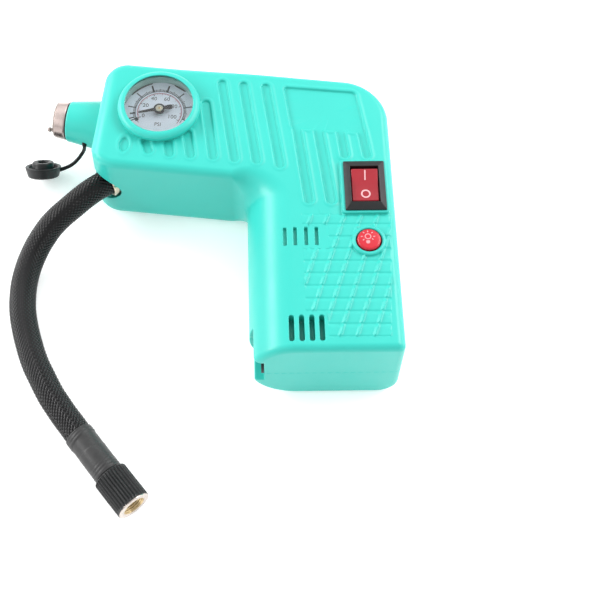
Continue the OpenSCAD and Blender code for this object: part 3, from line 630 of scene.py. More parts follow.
def shell(front, x, y, z, seam=True):
    """Signed distance to one half of the housing."""
    d1, d2, d3, t, w = outline(x, y)
    bot, nose = edge("bottom", x, y), edge("nose", x, y)
    u, v = uv(x, y)
    if front:
        e = 3.2 + 1.6 * step(-x / 40)
        radii = ((e, e), (e, e), (3 + 13 * t, 3 + 15 * t))
        rise = relief(x, y, True)
        # dip along the left side of the switch pad
        rise = rise - 0.3 * step((u - 29.0) / 5.0) * step((36.4 - u) / 2) * step((v - 6.4) / 3.0) * step((33.6 - v) / 3.0)
        face, plain_face = z - 38.0 - rise, z - 38.0
        part = 18.5 - z
    else:
        radii = ((6, 6), (6 + 2 * w, 6 + 2 * w), (6 + 12 * t, 6 + 11 * t))
        face, plain_face = -z - relief(x, y, False), -z
        part = z - 18.5

    def body(f, grow):
        s = ell(d1, f, *radii[0])
        s = np.maximum(s, ell(d2, f, *radii[1]))
        if front:
            s = np.maximum(s, ell(nose, f, 6.0, 4.6))
        s = np.maximum(s, ell(d3, f, *radii[2]))
        return rint(s, bot, 2.6) + grow

    out, inn = body(face, 0), body(plain_face, 2.0)
    if seam:
        out = rint(out, part, 0.06)
    s = np.maximum(out, -inn)
    # screw posts
    post = None
    for px, py in SCREWS:
        e = np.hypot(x - px, y - py)
        post = e if post is None else np.minimum(post, e)
    s = np.minimum(s, np.maximum(out, post - (3.2 if front else 4.1) + 0 * z))
    # block round the power inlet
    block = np.maximum(rbox(u, v, 2.3, -38.5, 4.3, 8.1, 0.4), np.abs(z - 20.1) - 8.9)
    s = np.minimum(s, np.maximum(out, block))
    if front:
        # hood round the gauge
        q = np.hypot(x - GAUGE[0], y - GAUGE[1])
        hood = rint(rint(q - 15.95 + 0.13 * np.minimum(z - 40.2, 0) ** 2, z - 42.0, 2.3), 11.8 - q, 0.4)
        hood = np.maximum(hood, 35.5 - z)
        s = runi(s, hood, 0.15)
        s = np.maximum(s, -np.maximum(q - 14.5, z - 41.4))
        s = rint(s, -(q - 13.1), 0.3)
        # pad under the switch and boss round the button
        pad = rint(rbox(u, v, 42.65, 19.75, 8.65, 11.55, 1.1), z - 39.3, 0.35)
        s = runi(s, np.maximum(pad, 35.9 - z), 0.25)
        bq = np.hypot(u - 43.0, v + 3.3)
        boss = rint(bq - 6.2, z - 39.35, 0.85)
        s = runi(s, np.maximum(boss, 35.9 - z), 0.3)
        s = rint(s, -rbox(u, v, 42.8, 19.7, 6.6, 9.7, 0.3), 0.2)
        s = rint(s, -(bq - 4.72), 0.5)
        s = np.maximum(s, -np.maximum(post - 1.36, z - 28.0))
        s = np.minimum(s, np.maximum(rbox(u, v, 19.3, -37.4, 7.6, 6.4, 1.0), np.abs(z - 34.5) - 2.3))
        s = rint(s, -np.maximum(open_vents(x, y), 32.9 - z), 0.25)
        s = rint(s, -np.maximum(blind_vents(x, y), 36.4 - z), 0.2)
    else:
        s = np.maximum(s, -(post - 1.5 + 0 * z))
        s = rint(s, -np.maximum(post - 3.1, z - 5.0), 0.25)
        s = rint(s, -np.maximum(open_vents(x, y), z - 5), 0.25)
        s = rint(s, -np.maximum(blind_vents(x, y), z - 1.6), 0.2)
    # nose and hose openings
    s = np.maximum(s, -np.maximum(np.hypot(y - 55, z - 19) - 8.05, x + 60.0))
    along = (x + 61.4) * exit_dir[0] + (y - 27.0) * exit_dir[1]
    across = (x + 61.4) * -exit_dir[1] + (y - 27.0) * exit_dir[0]
    s = rint(s, -np.maximum(np.hypot(across, z - 18.5) - 6.95, np.abs(along) - 7), 0.3)
    # notch for the power plug and the seat of its jack
    notch = np.maximum(rbox(u, v, -0.8, -40.75, 5.2, 8.25, 0.8), np.abs(z - 20.1) - 6.8)
    s = rint(s, -notch, 0.5)
    low = np.maximum(np.maximum(u - 0.98, np.abs(v + 40.75) - 8.25), np.abs(z - 14.6) - 5.4)
    s = rint(s, -low, 0.4)
    s = np.maximum(s, -np.maximum(np.hypot(v + 41.7, z - 19.3) - 3.9, np.abs(u - 10) - 7))
    return s


POOL = ThreadPoolExecutor(4)


def spread(f, P, n=60000):
    """f over points, in pieces on all cores."""
    parts = [P[i:i + n] for i in range(0, len(P), n)]
    return np.concatenate(list(POOL.map(lambda q: f(q[:, 0], q[:, 1], q[:, 2]), parts)))


def gradient(f, P, e=0.05):
    g = np.zeros_like(P)
    for k in range(3):
        d = np.zeros(3)
        d[k] = e
        g[:, k] = (spread(f, P + d) - spread(f, P - d)) / (2 * e)
    return g


def skin(f, lo, hi, h):
    """Closed mesh of f < 0 by surface nets, with its vertices pulled onto f = 0. Returns points and quads."""
    lo = np.array(lo, float)
    n = np.ceil((np.array(hi) - lo) / h).astype(int) + 1
    X, Y, Z = [lo[i] + np.arange(n[i]) * h for i in range(3)]
    G = np.empty(n, np.float32)

    def slab(i):
        G[i:i + 6] = f(X[i:i + 6, None, None], Y[None, :, None], Z[None, None, :])

    list(POOL.map(slab, range(0, n[0], 6)))
    S = G < 0
    count = np.zeros(n - 1, np.uint8)
    for i in (0, 1):
        for j in (0, 1):
            for k in (0, 1):
                count += S[i:n[0] - 1 + i, j:n[1] - 1 + j, k:n[2] - 1 + k]
    cells = np.argwhere((count > 0) & (count < 8))
    index = np.full(n - 1, -1, np.int64)
    index[tuple(cells.T)] = np.arange(len(cells))
    corner = np.array([(i, j, k) for i in (0, 1) for j in (0, 1) for k in (0, 1)])
    val = np.stack([G[tuple((cells + c).T)] for c in corner], 1).astype(float)
    acc, cnt = np.zeros((len(cells), 3)), np.zeros(len(cells))
    for a in range(8):
        for b in range(a + 1, 8):
            if np.abs(corner[a] - corner[b]).sum() != 1:
                continue
            va, vb = val[:, a], val[:, b]
            m = (va < 0) != (vb < 0)
            t = np.where(m, va / np.where(m, va - vb, 1), 0)
            acc += np.where(m[:, None], corner[a] + t[:, None] * (corner[b] - corner[a]), 0)
            cnt += m
    P = lo + (cells + acc / cnt[:, None]) * h
    quads = []
    for axis in range(3):
        o1, o2 = [(1, 2), (2, 0), (0, 1)][axis]
        sl0, sl1 = [slice(None)] * 3, [slice(None)] * 3
        sl0[axis], sl1[axis] = slice(0, -1), slice(1, None)
        cross = S[tuple(sl0)] != S[tuple(sl1)]
        e = np.argwhere(cross)
        ok = (e[:, o1] > 0) & (e[:, o2] > 0) & (e[:, o1] < n[o1] - 1) & (e[:, o2] < n[o2] - 1)
        e = e[ok]
        inside = S[tuple(e.T)]
        d1, d2 = np.zeros(3, int), np.zeros(3, int)
        d1[o1], d2[o2] = 1, 1
        q = np.stack([index[tuple((e - d1 - d2).T)], index[tuple((e - d2).T)], index[tuple(e.T)], index[tuple((e - d1).T)]], 1)
        q[~inside] = q[~inside][:, ::-1]
        quads.append(q)
    quads = np.vstack(quads)
    del G, S, count, index
    for _ in range(2):
        d = spread(f, P)
        g = gradient(f, P)
        g2 = (g * g).sum(1)
        move = -(d / np.maximum(g2, 0.25))[:, None] * g
        L = np.linalg.norm(move, axis=1)
        move *= np.minimum(1, 0.45 * h / np.maximum(L, 1e-9))[:, None]
        P = P + move
    return P, quads


def normals_at(f, P):
    g = gradient(f, P, 0.09)
    L = np.linalg.norm(g, axis=1)
    return g / np.maximum(L, 1e-9)[:, None]


def build_shell(name, front, node):
    h = 0.34

    def f(x, y, z):
        return shell(front, x, y, z)

    lo = (-66.4, -49.6, 17.6 if front else -0.9)
    hi = (60.6, 75.6, 43.2 if front else 19.4)
    P, quads = skin(f, lo, hi, h)
    me = bpy.data.meshes.new("raw")
    me.vertices.add(len(P))
    me.vertices.foreach_set("co", P.astype(np.float32).ravel())
    me.loops.add(len(quads) * 4)
    me.loops.foreach_set("vertex_index", quads.astype(np.int32).ravel())
    me.polygons.add(len(quads))
    me.polygons.foreach_set("loop_start", np.arange(len(quads), dtype=np.int32) * 4)
    me.polygons.foreach_set("loop_total", np.full(len(quads), 4, np.int32))
    me.update(calc_edges=True)
    o = bpy.data.objects.new("raw", me)
    scene.collection.objects.link(o)
    want = 140000
    if len(quads) * 2 > want:
        dec = o.modifiers.new("thin", "DECIMATE")
        dec.ratio = want / (len(quads) * 2)
        dg = bpy.context.evaluated_depsgraph_get()
        thin = bpy.data.meshes.new_from_object(o.evaluated_get(dg))
    else:
        thin = me.copy()
    bpy.data.objects.remove(o)
    bpy.data.meshes.remove(me)
    V = np.zeros(len(thin.vertices) * 3, np.float32)
    thin.vertices.foreach_get("co", V)
    V = V.reshape(-1, 3).astype(float)
    N = normals_at(f, V)
    # the outside shades straight across the parting line, which stays a hairline groove
    near = np.abs(V[:, 2] - 18.5) < 0.12
    N[near] = normals_at(lambda x, y, z: shell(front, x, y, z, False), V[near])
    thin.name = name
    co = np.clip(shown(V), np.array(cad_box[0]), np.array(cad_box[1]))
    thin.vertices.foreach_set("co", co.astype(np.float32).ravel())
    thin.materials.clear()
    thin.materials.append(MAT["teal_plastic"])
    thin.polygons.foreach_set("use_smooth", np.full(len(thin.polygons), True))
    thin.update()
    thin.normals_split_custom_set_from_vertices(N.tolist())
    ob = bpy.data.objects.new(name, thin)
    scene.collection.objects.link(ob)
    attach(ob, "housing")
    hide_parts(node)
    return ob


front_shell = build_shell("front_housing", True, "front_shell")
rear_shell = build_shell("rear_housing", False, "rear_shell")


# ------------------------------------------------------------------ thin printed and moulded marks
def prism(pts, z0, z1):
    """A flat outline (one loop) as a closed solid; z1 may be a function of x and y."""
    n = len(pts)
    low = [(x, y, z0(x, y) if callable(z0) else z0) for x, y in pts]
    top = [(x, y, z1(x, y) if callable(z1) else z1) for x, y in pts]
    faces = [list(range(n))[::-1], list(range(n, 2 * n))]
    faces += [[i, (i + 1) % n, n + (i + 1) % n, n + i] for i in range(n)]
    return low + top, faces


def band(inner, outer, z0, z1, closed=False):
    """The strip between two equal lines of points, as a closed solid."""
    n = len(inner)

    def zz(z, x, y):
        return z(x, y) if callable(z) else z

    V = [(x, y, zz(z0, x, y)) for x, y in inner] + [(x, y, zz(z0, x, y)) for x, y in outer]
    V += [(x, y, zz(z1, x, y)) for x, y in inner] + [(x, y, zz(z1, x, y)) for x, y in outer]
    F = []
    for i in range(n if closed else n - 1):
        j = (i + 1) % n
        F += [[i, j, n + j, n + i], [2 * n + i, 3 * n + i, 3 * n + j, 2 * n + j], [i, 2 * n + i, 2 * n + j, j], [n + i, n + j, 3 * n + j, 3 * n + i]]
    if not closed:
        F += [[0, n, 3 * n, 2 * n], [n - 1, 3 * n - 1, 4 * n - 1, 2 * n - 1]]
    return V, F


def arc_band(cx, cy, r0, r1, a0, a1, z0, z1, n=None):
    closed = abs(a1 - a0) >= 359.9
    n = n or max(3, int(abs(a1 - a0) / 4) + 2)
    t = np.radians(np.linspace(a0, a1, n, endpoint=not closed))
    return band([(cx + r0 * math.cos(k), cy + r0 * math.sin(k)) for k in t], [(cx + r1 * math.cos(k), cy + r1 * math.sin(k)) for k in t], z0, z1, closed)


def ray_bar(cx, cy, a, r0, r1, w, z0, z1):
    c, s_ = math.cos(deg(a)), math.sin(deg(a))
    P = [(r0, -w / 2), (r1, -w / 2), (r1, w / 2), (r0, w / 2)]
    return prism([(cx + x * c - y * s_, cy + x * s_ + y * c) for x, y in P], z0, z1)


def text_mesh(word, x, y, size, z0, z1, turn_by=0.0, squeeze=1.0):
    """Plain figures as a flat solid, centred at x, y."""
    c = bpy.data.curves.new("figures", "FONT")
    c.body = word
    c.size = size
    c.align_x, c.align_y = "CENTER", "CENTER"
    c.extrude = (z1 - z0) / 2
    c.resolution_u = 3
    o = bpy.data.objects.new("figures", c)
    scene.collection.objects.link(o)
    bpy.context.view_layer.update()
    me = bpy.data.meshes.new_from_object(o.evaluated_get(bpy.context.evaluated_depsgraph_get()))
    V = [v.co.copy() for v in me.vertices]
    F = [list(q.vertices) for q in me.polygons]
    bpy.data.objects.remove(o)
    bpy.data.curves.remove(c)
    bpy.data.meshes.remove(me)
    ca_, sa_ = math.cos(deg(turn_by)), math.sin(deg(turn_by))
    return [(x + v.x * squeeze * ca_ - v.y * sa_, y + v.x * squeeze * sa_ + v.y * ca_, (z0 + z1) / 2 + v.z) for v in V], F


def joined(name, parts, at, body, slot, material=None, sharp=30, replaces=()):
    """Several closed solids as one piece."""
    V, F = [], []
    for v, f in parts:
        n = len(V)
        V += [tuple(q) for q in v]
        F += [[i + n for i in q] for q in f]
    o = add(name, shown(at(np.array(V, float))), F, body, slot, material, replaces=replaces, sharp=sharp)
    me = o.data
    import bmesh
    bm = bmesh.new()
    bm.from_mesh(me)
    bmesh.ops.remove_doubles(bm, verts=bm.verts, dist=1e-7)
    bmesh.ops.recalc_face_normals(bm, faces=bm.faces)
    bm.to_mesh(me)
    bm.free()
    if sharp is not None:
        me.set_sharp_from_angle(angle=deg(sharp))
    return o


def bevelled(o, width, segs=3, angle=35):
    """Rounds the piece's edges (width in mm) and keeps the result in its mesh."""
    b = o.modifiers.new("round", "BEVEL")
    b.width, b.segments, b.limit_method, b.angle_limit = width * MM, segs, "ANGLE", deg(angle)
    b.harden_normals = True
    w = o.modifiers.new("even", "WEIGHTED_NORMAL")
    w.keep_sharp = False
    me = bpy.data.meshes.new_from_object(o.evaluated_get(bpy.context.evaluated_depsgraph_get()))
    me.name = o.name
    o.modifiers.clear()
    o.data = me
    return o


# ------------------------------------------------------------------ gauge
gauge_at = frame_at((GAUGE[0], GAUGE[1], 0), (1, 0, 0), (0, 1, 0), (0, 0, 1))
case_teal = plain("case_teal", (0.30, 0.53, 0.48), 0.32, vary=0.05, scale=200, grain=2600)
turned("gauge_case_wall", fillet([(2.6, 28.5), (13.8, 28.5), (13.8, 40.1), (13.35, 40.1), (13.35, 35.4), (12.4, 35.4), (12.4, 34.6), (12.9, 34.0), (12.9, 30), (2.6, 30)],
                                 [0, 0.3, 0.1, 0.1, 0, 0, 0, 0, 0.3, 0], 2), gauge_at, "housing", "dark_metal", segs=96, replaces=["gauge_case"], sharp=50,
       material=case_teal)
turned("dial_plate", fillet([(0.8, 35.4), (13.3, 35.4), (13.3, 35.9), (0.8, 35.9)], [0, 0.1, 0.12, 0], 2), gauge_at, "housing", "dial_print",
       segs=96, replaces=["gauge_dial"], sharp=50)
Z0, Z1 = 35.86, 35.94
black, red = [], []
black.append(arc_band(0, 0, 8.96, 9.14, 218, -27, Z0, Z1, 90))
for i in range(8):
    a = 206.3 - 31.6 * i
    black.append(ray_bar(0, 0, a, 9.0, 12.1, 0.62 if i in (3, 4) else 0.42, Z0, Z1))
    if i < 7:
        for j in range(1, 10):
            black.append(ray_bar(0, 0, a - 3.16 * j, 9.0, 10.3 if j == 5 else 10.0, 0.25, Z0, Z1))
black.append(ray_bar(0, 0, 190.3, 9.0, 11.1, 0.62, Z0, Z1))
black.append(ray_bar(0, 0, 201.0, 9.8, 11.9, 0.46, Z0, Z1))
black.append(arc_band(0, 0, 8.5, 9.75, 203, 212, Z0, Z1, 6))
# painted shade: two tapered black arcs at the dial's rim, on the far side, where the wall's shadow falls on the dial
for a0, a1 in ((151.5, 109.5), (72.5, 50)):
    t = np.radians(np.linspace(a0, a1, 26))
    taper = 0.62 * np.sin(np.linspace(0.2, math.pi - 0.2, 26)) ** 0.5
    black.append(band([((13.22 - w) * math.cos(k), (13.22 - w) * math.sin(k)) for k, w in zip(t, taper)],
                      [(13.24 * math.cos(k), 13.24 * math.sin(k)) for k in t], Z0, Z1))
for q in (("0", -5.81, -2.46), ("20", -5.56, 2.21), ("40", -2.87, 5.5), ("60", 1.99, 5.77), ("80", 5.17, 2.88), ("100", 4.9, -1.81)):
    black.append(text_mesh(q[0], q[1], q[2], 2.3, Z0, Z1, 3.0, 1.0))
black.append(text_mesh("PSI", 0.05, -5.66, 2.1, Z0, Z1, 3.0, 1.0))
for i in range(6):
    black.append(ray_bar(0, 0, 204.5 - 45.5 * i, 7.3, 8.2, 0.26, Z0, Z1))
red.append(arc_band(0, 0, 8.16, 8.36, 210, -32, Z0, Z1, 90))
for i in range(1, 50):
    if i % 10:
        red.append(ray_bar(0, 0, 204.5 - 4.55 * i, 7.8 if i % 5 else 7.5, 8.2, 0.17, Z0, Z1))
# black for the dial's print and for the painted shade arcs at its rim
print_black_and_painted_shade = plain("print_black_and_painted_shade", (0.018, 0.018, 0.024), 0.5, vary=0.12, scale=700, ior=1.4)
print_red = plain("print_red", (0.36, 0.05, 0.09), 0.5, vary=0.08, scale=700, ior=1.4)
joined("dial_marks_and_painted_shade", black, gauge_at, "housing", "black_paint", print_black_and_painted_shade)
joined("dial_red_scale", red, gauge_at, "housing", "red_plastic", print_red)

# needle: a stamped strip with a hub ring, and the bright cap of its spindle
na = deg(197.8)
needle_at = frame_at((GAUGE[0], GAUGE[1], 0), (math.cos(na), math.sin(na), 0), (-math.sin(na), math.cos(na), 0), (0, 0, 1))
half = [(8.05, 0.0), (7.9, 0.24), (7.4, 0.34), (2.4, 0.64), (0, 0.9), (-2.1, 0.72), (-3.4, 0.95), (-4.5, 0.95), (-4.95, 0.7), (-5.1, 0.3)]
blade = half + [(x, -y) for x, y in half[:0:-1]]
needle_black = plain("needle_black", (0.008, 0.008, 0.009), 0.6, vary=0.15, scale=500, ior=1.36)
needle = joined("pointer", [prism(blade, 37.6, 37.9)], needle_at, "needle", "black_paint", needle_black, replaces=["gauge_needle"])
turned("pointer_hub", fillet([(0.56, 37.4), (1.9, 37.4), (2.18, 37.55), (2.18, 37.95), (1.95, 38.02), (0.56, 38.02)], 0.05, 2), gauge_at, "needle", "black_paint",
       segs=48, replaces=["gauge_needle"], material=needle_black)
cream = plain("spindle_cream", (0.52, 0.48, 0.38), 0.4, metal=0.2, vary=0.08, scale=900, grain=5000)
turned("spindle_cap", [(0, 33.9), (0.55, 33.9), (0.55, 38.0), (1.34, 38.03), (1.4, 38.08), (1.34, 38.2), (1.15, 38.26), (0.72, 38.28), (0.6, 38.28), (0.52, 38.12), (0, 38.1)],
       gauge_at, "needle", record_slot["gauge_spindle"], segs=48, replaces=["gauge_spindle"], material=cream)
turned("spindle_dot", [(0, 38.05), (0.44, 38.05), (0.44, 38.18), (0.3, 38.26), (0, 38.28)], gauge_at, "needle", "brass", segs=32, replaces=["gauge_spindle"])
turned("gauge_window", np.vstack([fillet([(0, 40.2), (14.2, 40.2), (14.2, 40.85), (13.7, 41.1)], [0, 0.1, 0.1, 0], 3, closed=False),
                                  [(13.6 * k, 41.12 + 0.22 * (1 - k * k)) for k in np.linspace(0.92, 0.1, 9)], [(0, 41.34)]]),
       gauge_at, "housing", "clear_plastic", segs=96, replaces=["gauge_lens"], sharp=60)

# ------------------------------------------------------------------ switch
U3, V3 = np.array([CL, SL, 0.0]), np.array([-SL, CL, 0.0])


def handle_at(u, v, z=0.0):
    return frame_at(u * U3 + v * V3 + np.array([0, 0, z]), U3, V3, (0, 0, 1))


SW = (42.8, 19.7)
sw = handle_at(*SW)


def ring_of(hx, hy, z, r, n=4):
    """A rounded rectangle's points at height z."""
    out = []
    for cx, cy, a in ((1, -1, -90), (1, 1, 0), (-1, 1, 90), (-1, -1, 180)):
        for k in range(n + 1):
            t = deg(a + 90 * k / n)
            out.append((cx * (hx - r) + r * math.cos(t), cy * (hy - r) + r * math.sin(t), z))
    return out


rows = [(7.6, 10.6, 39.3, 0.3), (7.6, 10.6, 39.8, 0.3), (7.52, 10.52, 39.92, 0.26), (7.4, 10.4, 40.0, 0.22), (5.55, 7.95, 41.0, 0.12),
        (5.42, 7.8, 41.05, 0.12), (5.28, 7.72, 40.98, 0.12), (5.18, 7.66, 40.7, 0.12), (5.15, 7.65, 40.0, 0.12), (5.15, 7.65, 24.5, 0.12)]
V, F = [], []
for q in rows:
    V += ring_of(*q)
m = len(ring_of(*rows[0]))
for i in range(len(rows) - 1):
    for k in range(m):
        j = (k + 1) % m
        F.append([i * m + k, i * m + j, (i + 1) * m + j, (i + 1) * m + k])
n = len(V)
F.append([(len(rows) - 1) * m + k for k in range(m)])
low = ring_of(6.5, 9.6, 39.3, 0.3) + ring_of(6.5, 9.6, 23.0, 0.3)
V += low
for k in range(m):
    j = (k + 1) % m
    F.append([k, n + k, n + j, j][::-1])
    F.append([n + k, n + m + k, n + m + j, n + j][::-1])
F.append([n + m + k for k in range(m)][::-1])
joined("switch_bezel", [(V, F)], sw, "housing", "black_plastic", sharp=24, replaces=["switch_frame"])

T6 = math.tan(deg(6))
rk = frame_at(SW[0] * U3 + SW[1] * V3 + np.array([0, 0, 37.0]), U3, math.cos(deg(6)) * V3 + math.sin(deg(6)) * np.array([0, 0, 1.0]),
              -math.sin(deg(6)) * V3 + math.cos(deg(6)) * np.array([0, 0, 1.0]))
prof = [(7.5 * math.cos(deg(t)), 7.5 * math.sin(deg(t))) for t in np.linspace(-8, 30.27, 9)]
prof += [(0, 3.1)] + [(-a, b) for a, b in prof[::-1]] + [(-2.2, -6), (2.2, -6)]
V = [(x, a, b) for x in (-4.9, 4.9) for a, b in prof]
n = len(prof)
F = [list(range(n)), list(range(n, 2 * n))[::-1]] + [[i, n + i, n + (i + 1) % n, (i + 1) % n] for i in range(n)]
red_rocker = plain("red_rocker", (0.30, 0.010, 0.020), 0.34, vary=0.05, scale=160, grain=3600, lift=0.00001, ior=1.46)
rocker = joined("rocker_cap", [(V, F)], rk, "rocker", "red_plastic", red_rocker, replaces=["switch_rocker"])
bevelled(rocker, 0.28)
pin_at = frame_at(SW[0] * U3 + SW[1] * V3 + np.array([0, 0, 37.0]), V3, (0, 0, 1), U3)
turned("rocker_pin", fillet([(0, -5.8), (0.9, -5.8), (0.9, 5.8), (0, 5.8)], [0, 0.15, 0.15, 0], 3), pin_at, "rocker", "red_plastic", segs=32,
       replaces=["switch_rocker"], material=red_rocker)


def on_rocker(lift):
    return lambda x, y: 3.1 + abs(y) * T6 + lift


mark_white = plain("mark_white", (0.66, 0.38, 0.40), 0.5, vary=0.05, scale=600, ior=1.4)
joined("switch_marks", [prism([(0.17 - 0.25, 6.0), (0.08 - 0.25, 2.1), (0.08 + 0.25, 2.1), (0.17 + 0.25, 6.0)], on_rocker(-0.05), on_rocker(0.05)),
                        arc_band(0.09, -3.6, 1.22, 1.78, 0, 360, on_rocker(-0.05), on_rocker(0.05), 40)], rk, "rocker", record_slot["gauge_dial"], mark_white)

# ------------------------------------------------------------------ light button
BT = (43.0, -3.3)
bt = handle_at(*BT)
red_button = plain("red_button", (0.50, 0.014, 0.028), 0.24, vary=0.05, scale=160, grain=3600, lift=0.00001, ior=1.47)
turned("button_cap", [(0, 29.4), (1.4, 29.4), (1.4, 33.8), (5.3, 33.8), (5.3, 34.6), (4.3, 34.6), (4.3, 39.3)]
       + [(4.3 - 0.9 * (1 - math.cos(deg(a))), 39.3 + 0.7 * math.sin(deg(a))) for a in range(10, 91, 10)] + [(2.4, 40.1), (1.2, 40.14), (0, 40.15)],
       bt, "light_button", "red_plastic", segs=72, replaces=["light_button"], material=red_button)
icon_pink = plain("icon_pink", (0.62, 0.30, 0.32), 0.45, vary=0.05, scale=600, ior=1.4)


def on_button(lift):
    return lambda x, y: 40.15 - 0.15 * min(1, math.hypot(x, y) / 3.5) ** 1.3 + lift


icon = [arc_band(-0.40, 0.92, 0.86, 1.2, 0, 360, on_button(-0.06), on_button(0.05), 36)]
icon.append(prism([(-1.02, -0.72), (0.12, -0.72), (0.30, -1.35), (-0.05, -2.0), (-0.90, -2.0), (-1.22, -1.35)], on_button(-0.06), on_button(0.05)))
for x, y, a in ((-0.41, 3.02, 90), (-2.65, 0.95, 0), (1.83, 0.89, 0), (-1.9, 2.56, 132), (1.16, 2.52, 48), (-2.07, -0.45, 40), (1.28, -0.22, -40)):
    c, s_ = math.cos(deg(a)), math.sin(deg(a))
    icon.append(prism([(x + p_ * c - q_ * s_, y + p_ * s_ + q_ * c) for p_, q_ in ((-0.33, -0.19), (0.33, -0.19), (0.33, 0.19), (-0.33, 0.19))],
                      on_button(-0.06), on_button(0.05)))
# return spring, as a fixed coil (the real one shortens as the button goes down)
turns = np.linspace(0, 8 * math.pi, 4 * 28 + 1)
coil_path = bt(np.stack([2.7 * np.cos(turns), 2.7 * np.sin(turns), 29.27 + 4.26 * turns / (8 * math.pi)], 1))
coil_s = np.concatenate([[0], np.cumsum(np.linalg.norm(np.diff(coil_path, axis=0), axis=1))])
cv, cf, _ = tube((coil_path, coil_s), 10, lambda S, TH: np.full(S.shape, 0.25))
coil = add("return_coil", cv, cf, "housing", record_slot["button_spring"], replaces=["button_spring"])
outward(coil)
tuple(shown(bt(np.array([0, 0, 29.02]))))
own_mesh(coil)
joined("button_icon", icon, bt, "light_button", record_slot["gauge_dial"], icon_pink)

# ------------------------------------------------------------------ lamp nose
nose_at = frame_at((-64.7, 54.5, 19), (0, 0, 1.0), (0.05582, 0.99844, 0), (-0.99844, 0.05582, 0))
turned("lamp_sleeve", np.vstack([fillet([(6.6, -3.2), (7.2, -3.2), (7.2, -1.0), (10.19, -1.0), (8.2, 13.2), (8.2, 13.55), (7.95, 14.0), (6.75, 14.0), (6.6, 13.8)],
                                         [0, 0, 0, 0, 0.3, 0.2, 0.25, 0.1, 0.1], 3)]),
       nose_at, "housing", "teal_plastic", segs=96, replaces=["nose_sleeve"], sharp=50)


def nickel_painted_reflection_bands(name, base, stops, rough):
    """Polished nickel with painted reflections: soft dark and bright bands set in its colour by height, lying along the
    ring.
    """
    m, nt, p_ = node_tree(name)
    tc = nt.nodes.new("ShaderNodeTexCoord")
    sep = nt.nodes.new("ShaderNodeSeparateXYZ")
    link(nt, tc.outputs["Object"], sep.inputs["Vector"])
    # painted reflection: the height on the ring chooses a dark or bright band of the nickel's colour
    mr = nt.nodes.new("ShaderNodeMapRange")
    mr.inputs["From Min"].default_value, mr.inputs["From Max"].default_value = 0.011, 0.027
    link(nt, sep.outputs["Z"], mr.inputs["Value"])
    wob = nt.nodes.new("ShaderNodeMath")
    wob.operation = "MULTIPLY_ADD"
    link(nt, noise(nt, coords(nt, (3, 0.4, 0.4)), 900, 3), wob.inputs[0])
    wob.inputs[1].default_value = 0.06
    link(nt, mr.outputs["Result"], wob.inputs[2])
    cr = nt.nodes.new("ShaderNodeValToRGB")
    for i, (pos, k) in enumerate(stops):
        e = cr.color_ramp.elements[i] if i < 2 else cr.color_ramp.elements.new(pos)
        e.position, e.color = pos, (base[0] * k, base[1] * k, base[2] * k, 1)
    link(nt, wob.outputs["Value"], cr.inputs["Fac"])
    link(nt, cr.outputs["Color"], p_.inputs["Base Color"])
    link(nt, remap(nt, noise(nt, coords(nt, (8, 1, 1)), 600), rough - 0.05, rough + 0.1), p_.inputs["Roughness"])
    link(nt, bump(nt, noise(nt, coords(nt, (12, 1, 1)), 1500, 3), 0.25, 0.00001), p_.inputs["Normal"])
    p_.inputs["Metallic"].default_value = 1.0
    return m


# painted reflection on the lamp ring: a dark band low down, brighter bands above
bezel_painted_reflection_mat = nickel_painted_reflection_bands("bezel_nickel_painted_reflections", (0.60, 0.50, 0.47), [(0.0, 0.5), (1.0, 1.1), (0.10, 0.30), (0.18, 0.14), (0.27, 0.20), (0.36, 0.75), (0.48, 0.85), (0.58, 0.72), (0.72, 0.66), (0.86, 0.95)], 0.30)
turned("ring_seal", fillet([(6.55, 13.7), (7.55, 13.7), (7.72, 13.9), (7.72, 14.5), (7.6, 14.65), (6.55, 14.65)], [0, 0.1, 0.1, 0.1, 0.1, 0], 2), nose_at, "housing",
       "black_rubber", segs=96, replaces=["lamp_bezel"], sharp=50)
rim_mat = plain("bezel_rim", (0.34, 0.29, 0.27), 0.34, metal=1.0, vary=0.10, scale=500, grain=2200, rough_vary=0.06)
turned("lamp_ring_rim", fillet([(5.6, 18.6), (7.18, 18.6), (7.16, 18.95), (6.75, 19.5), (5.95, 19.5), (5.6, 19.2)], [0, 0, 0.2, 0.2, 0.1, 0.1], 4), nose_at, "housing", "nickel",
       segs=96, replaces=["lamp_bezel"], sharp=50, material=rim_mat)
turned("lamp_ring", fillet([(5.6, 5), (6.5, 5), (6.5, 14.6), (7.5, 14.6), (7.65, 15.2), (7.24, 18.7), (7.1, 18.8), (5.6, 18.8)],
                            [0, 0, 0, 0.12, 0.15, 0.05, 0.05, 0], 4), nose_at, "housing", "nickel", segs=96, replaces=["lamp_bezel"], sharp=50, material=bezel_painted_reflection_mat)
stud_at = frame_at(nose_at((1.42, -6.14, 0)), (0, 0, 1.0), (0.05582, 0.99844, 0), (-0.99844, 0.05582, 0))
turned("ring_stud", [(0, 18.9), (0.72, 18.9), (0.72, 19.9), (0.62, 20.0), (0.98, 20.25), (0.98, 20.9), (0.84, 21.28), (0.5, 21.48), (0, 21.5)], stud_at, "housing", "nickel",
       segs=32, replaces=["bezel_stud"], material=rim_mat)
turned("lamp_window", [(0, 17.3), (5.3, 17.3), (5.55, 17.4), (5.55, 18.0), (5.2, 18.2), (4.2, 18.32), (2.4, 18.38), (0, 18.4)], nose_at, "housing", "clear_plastic",
       segs=64, replaces=["lamp_lens"], sharp=60)

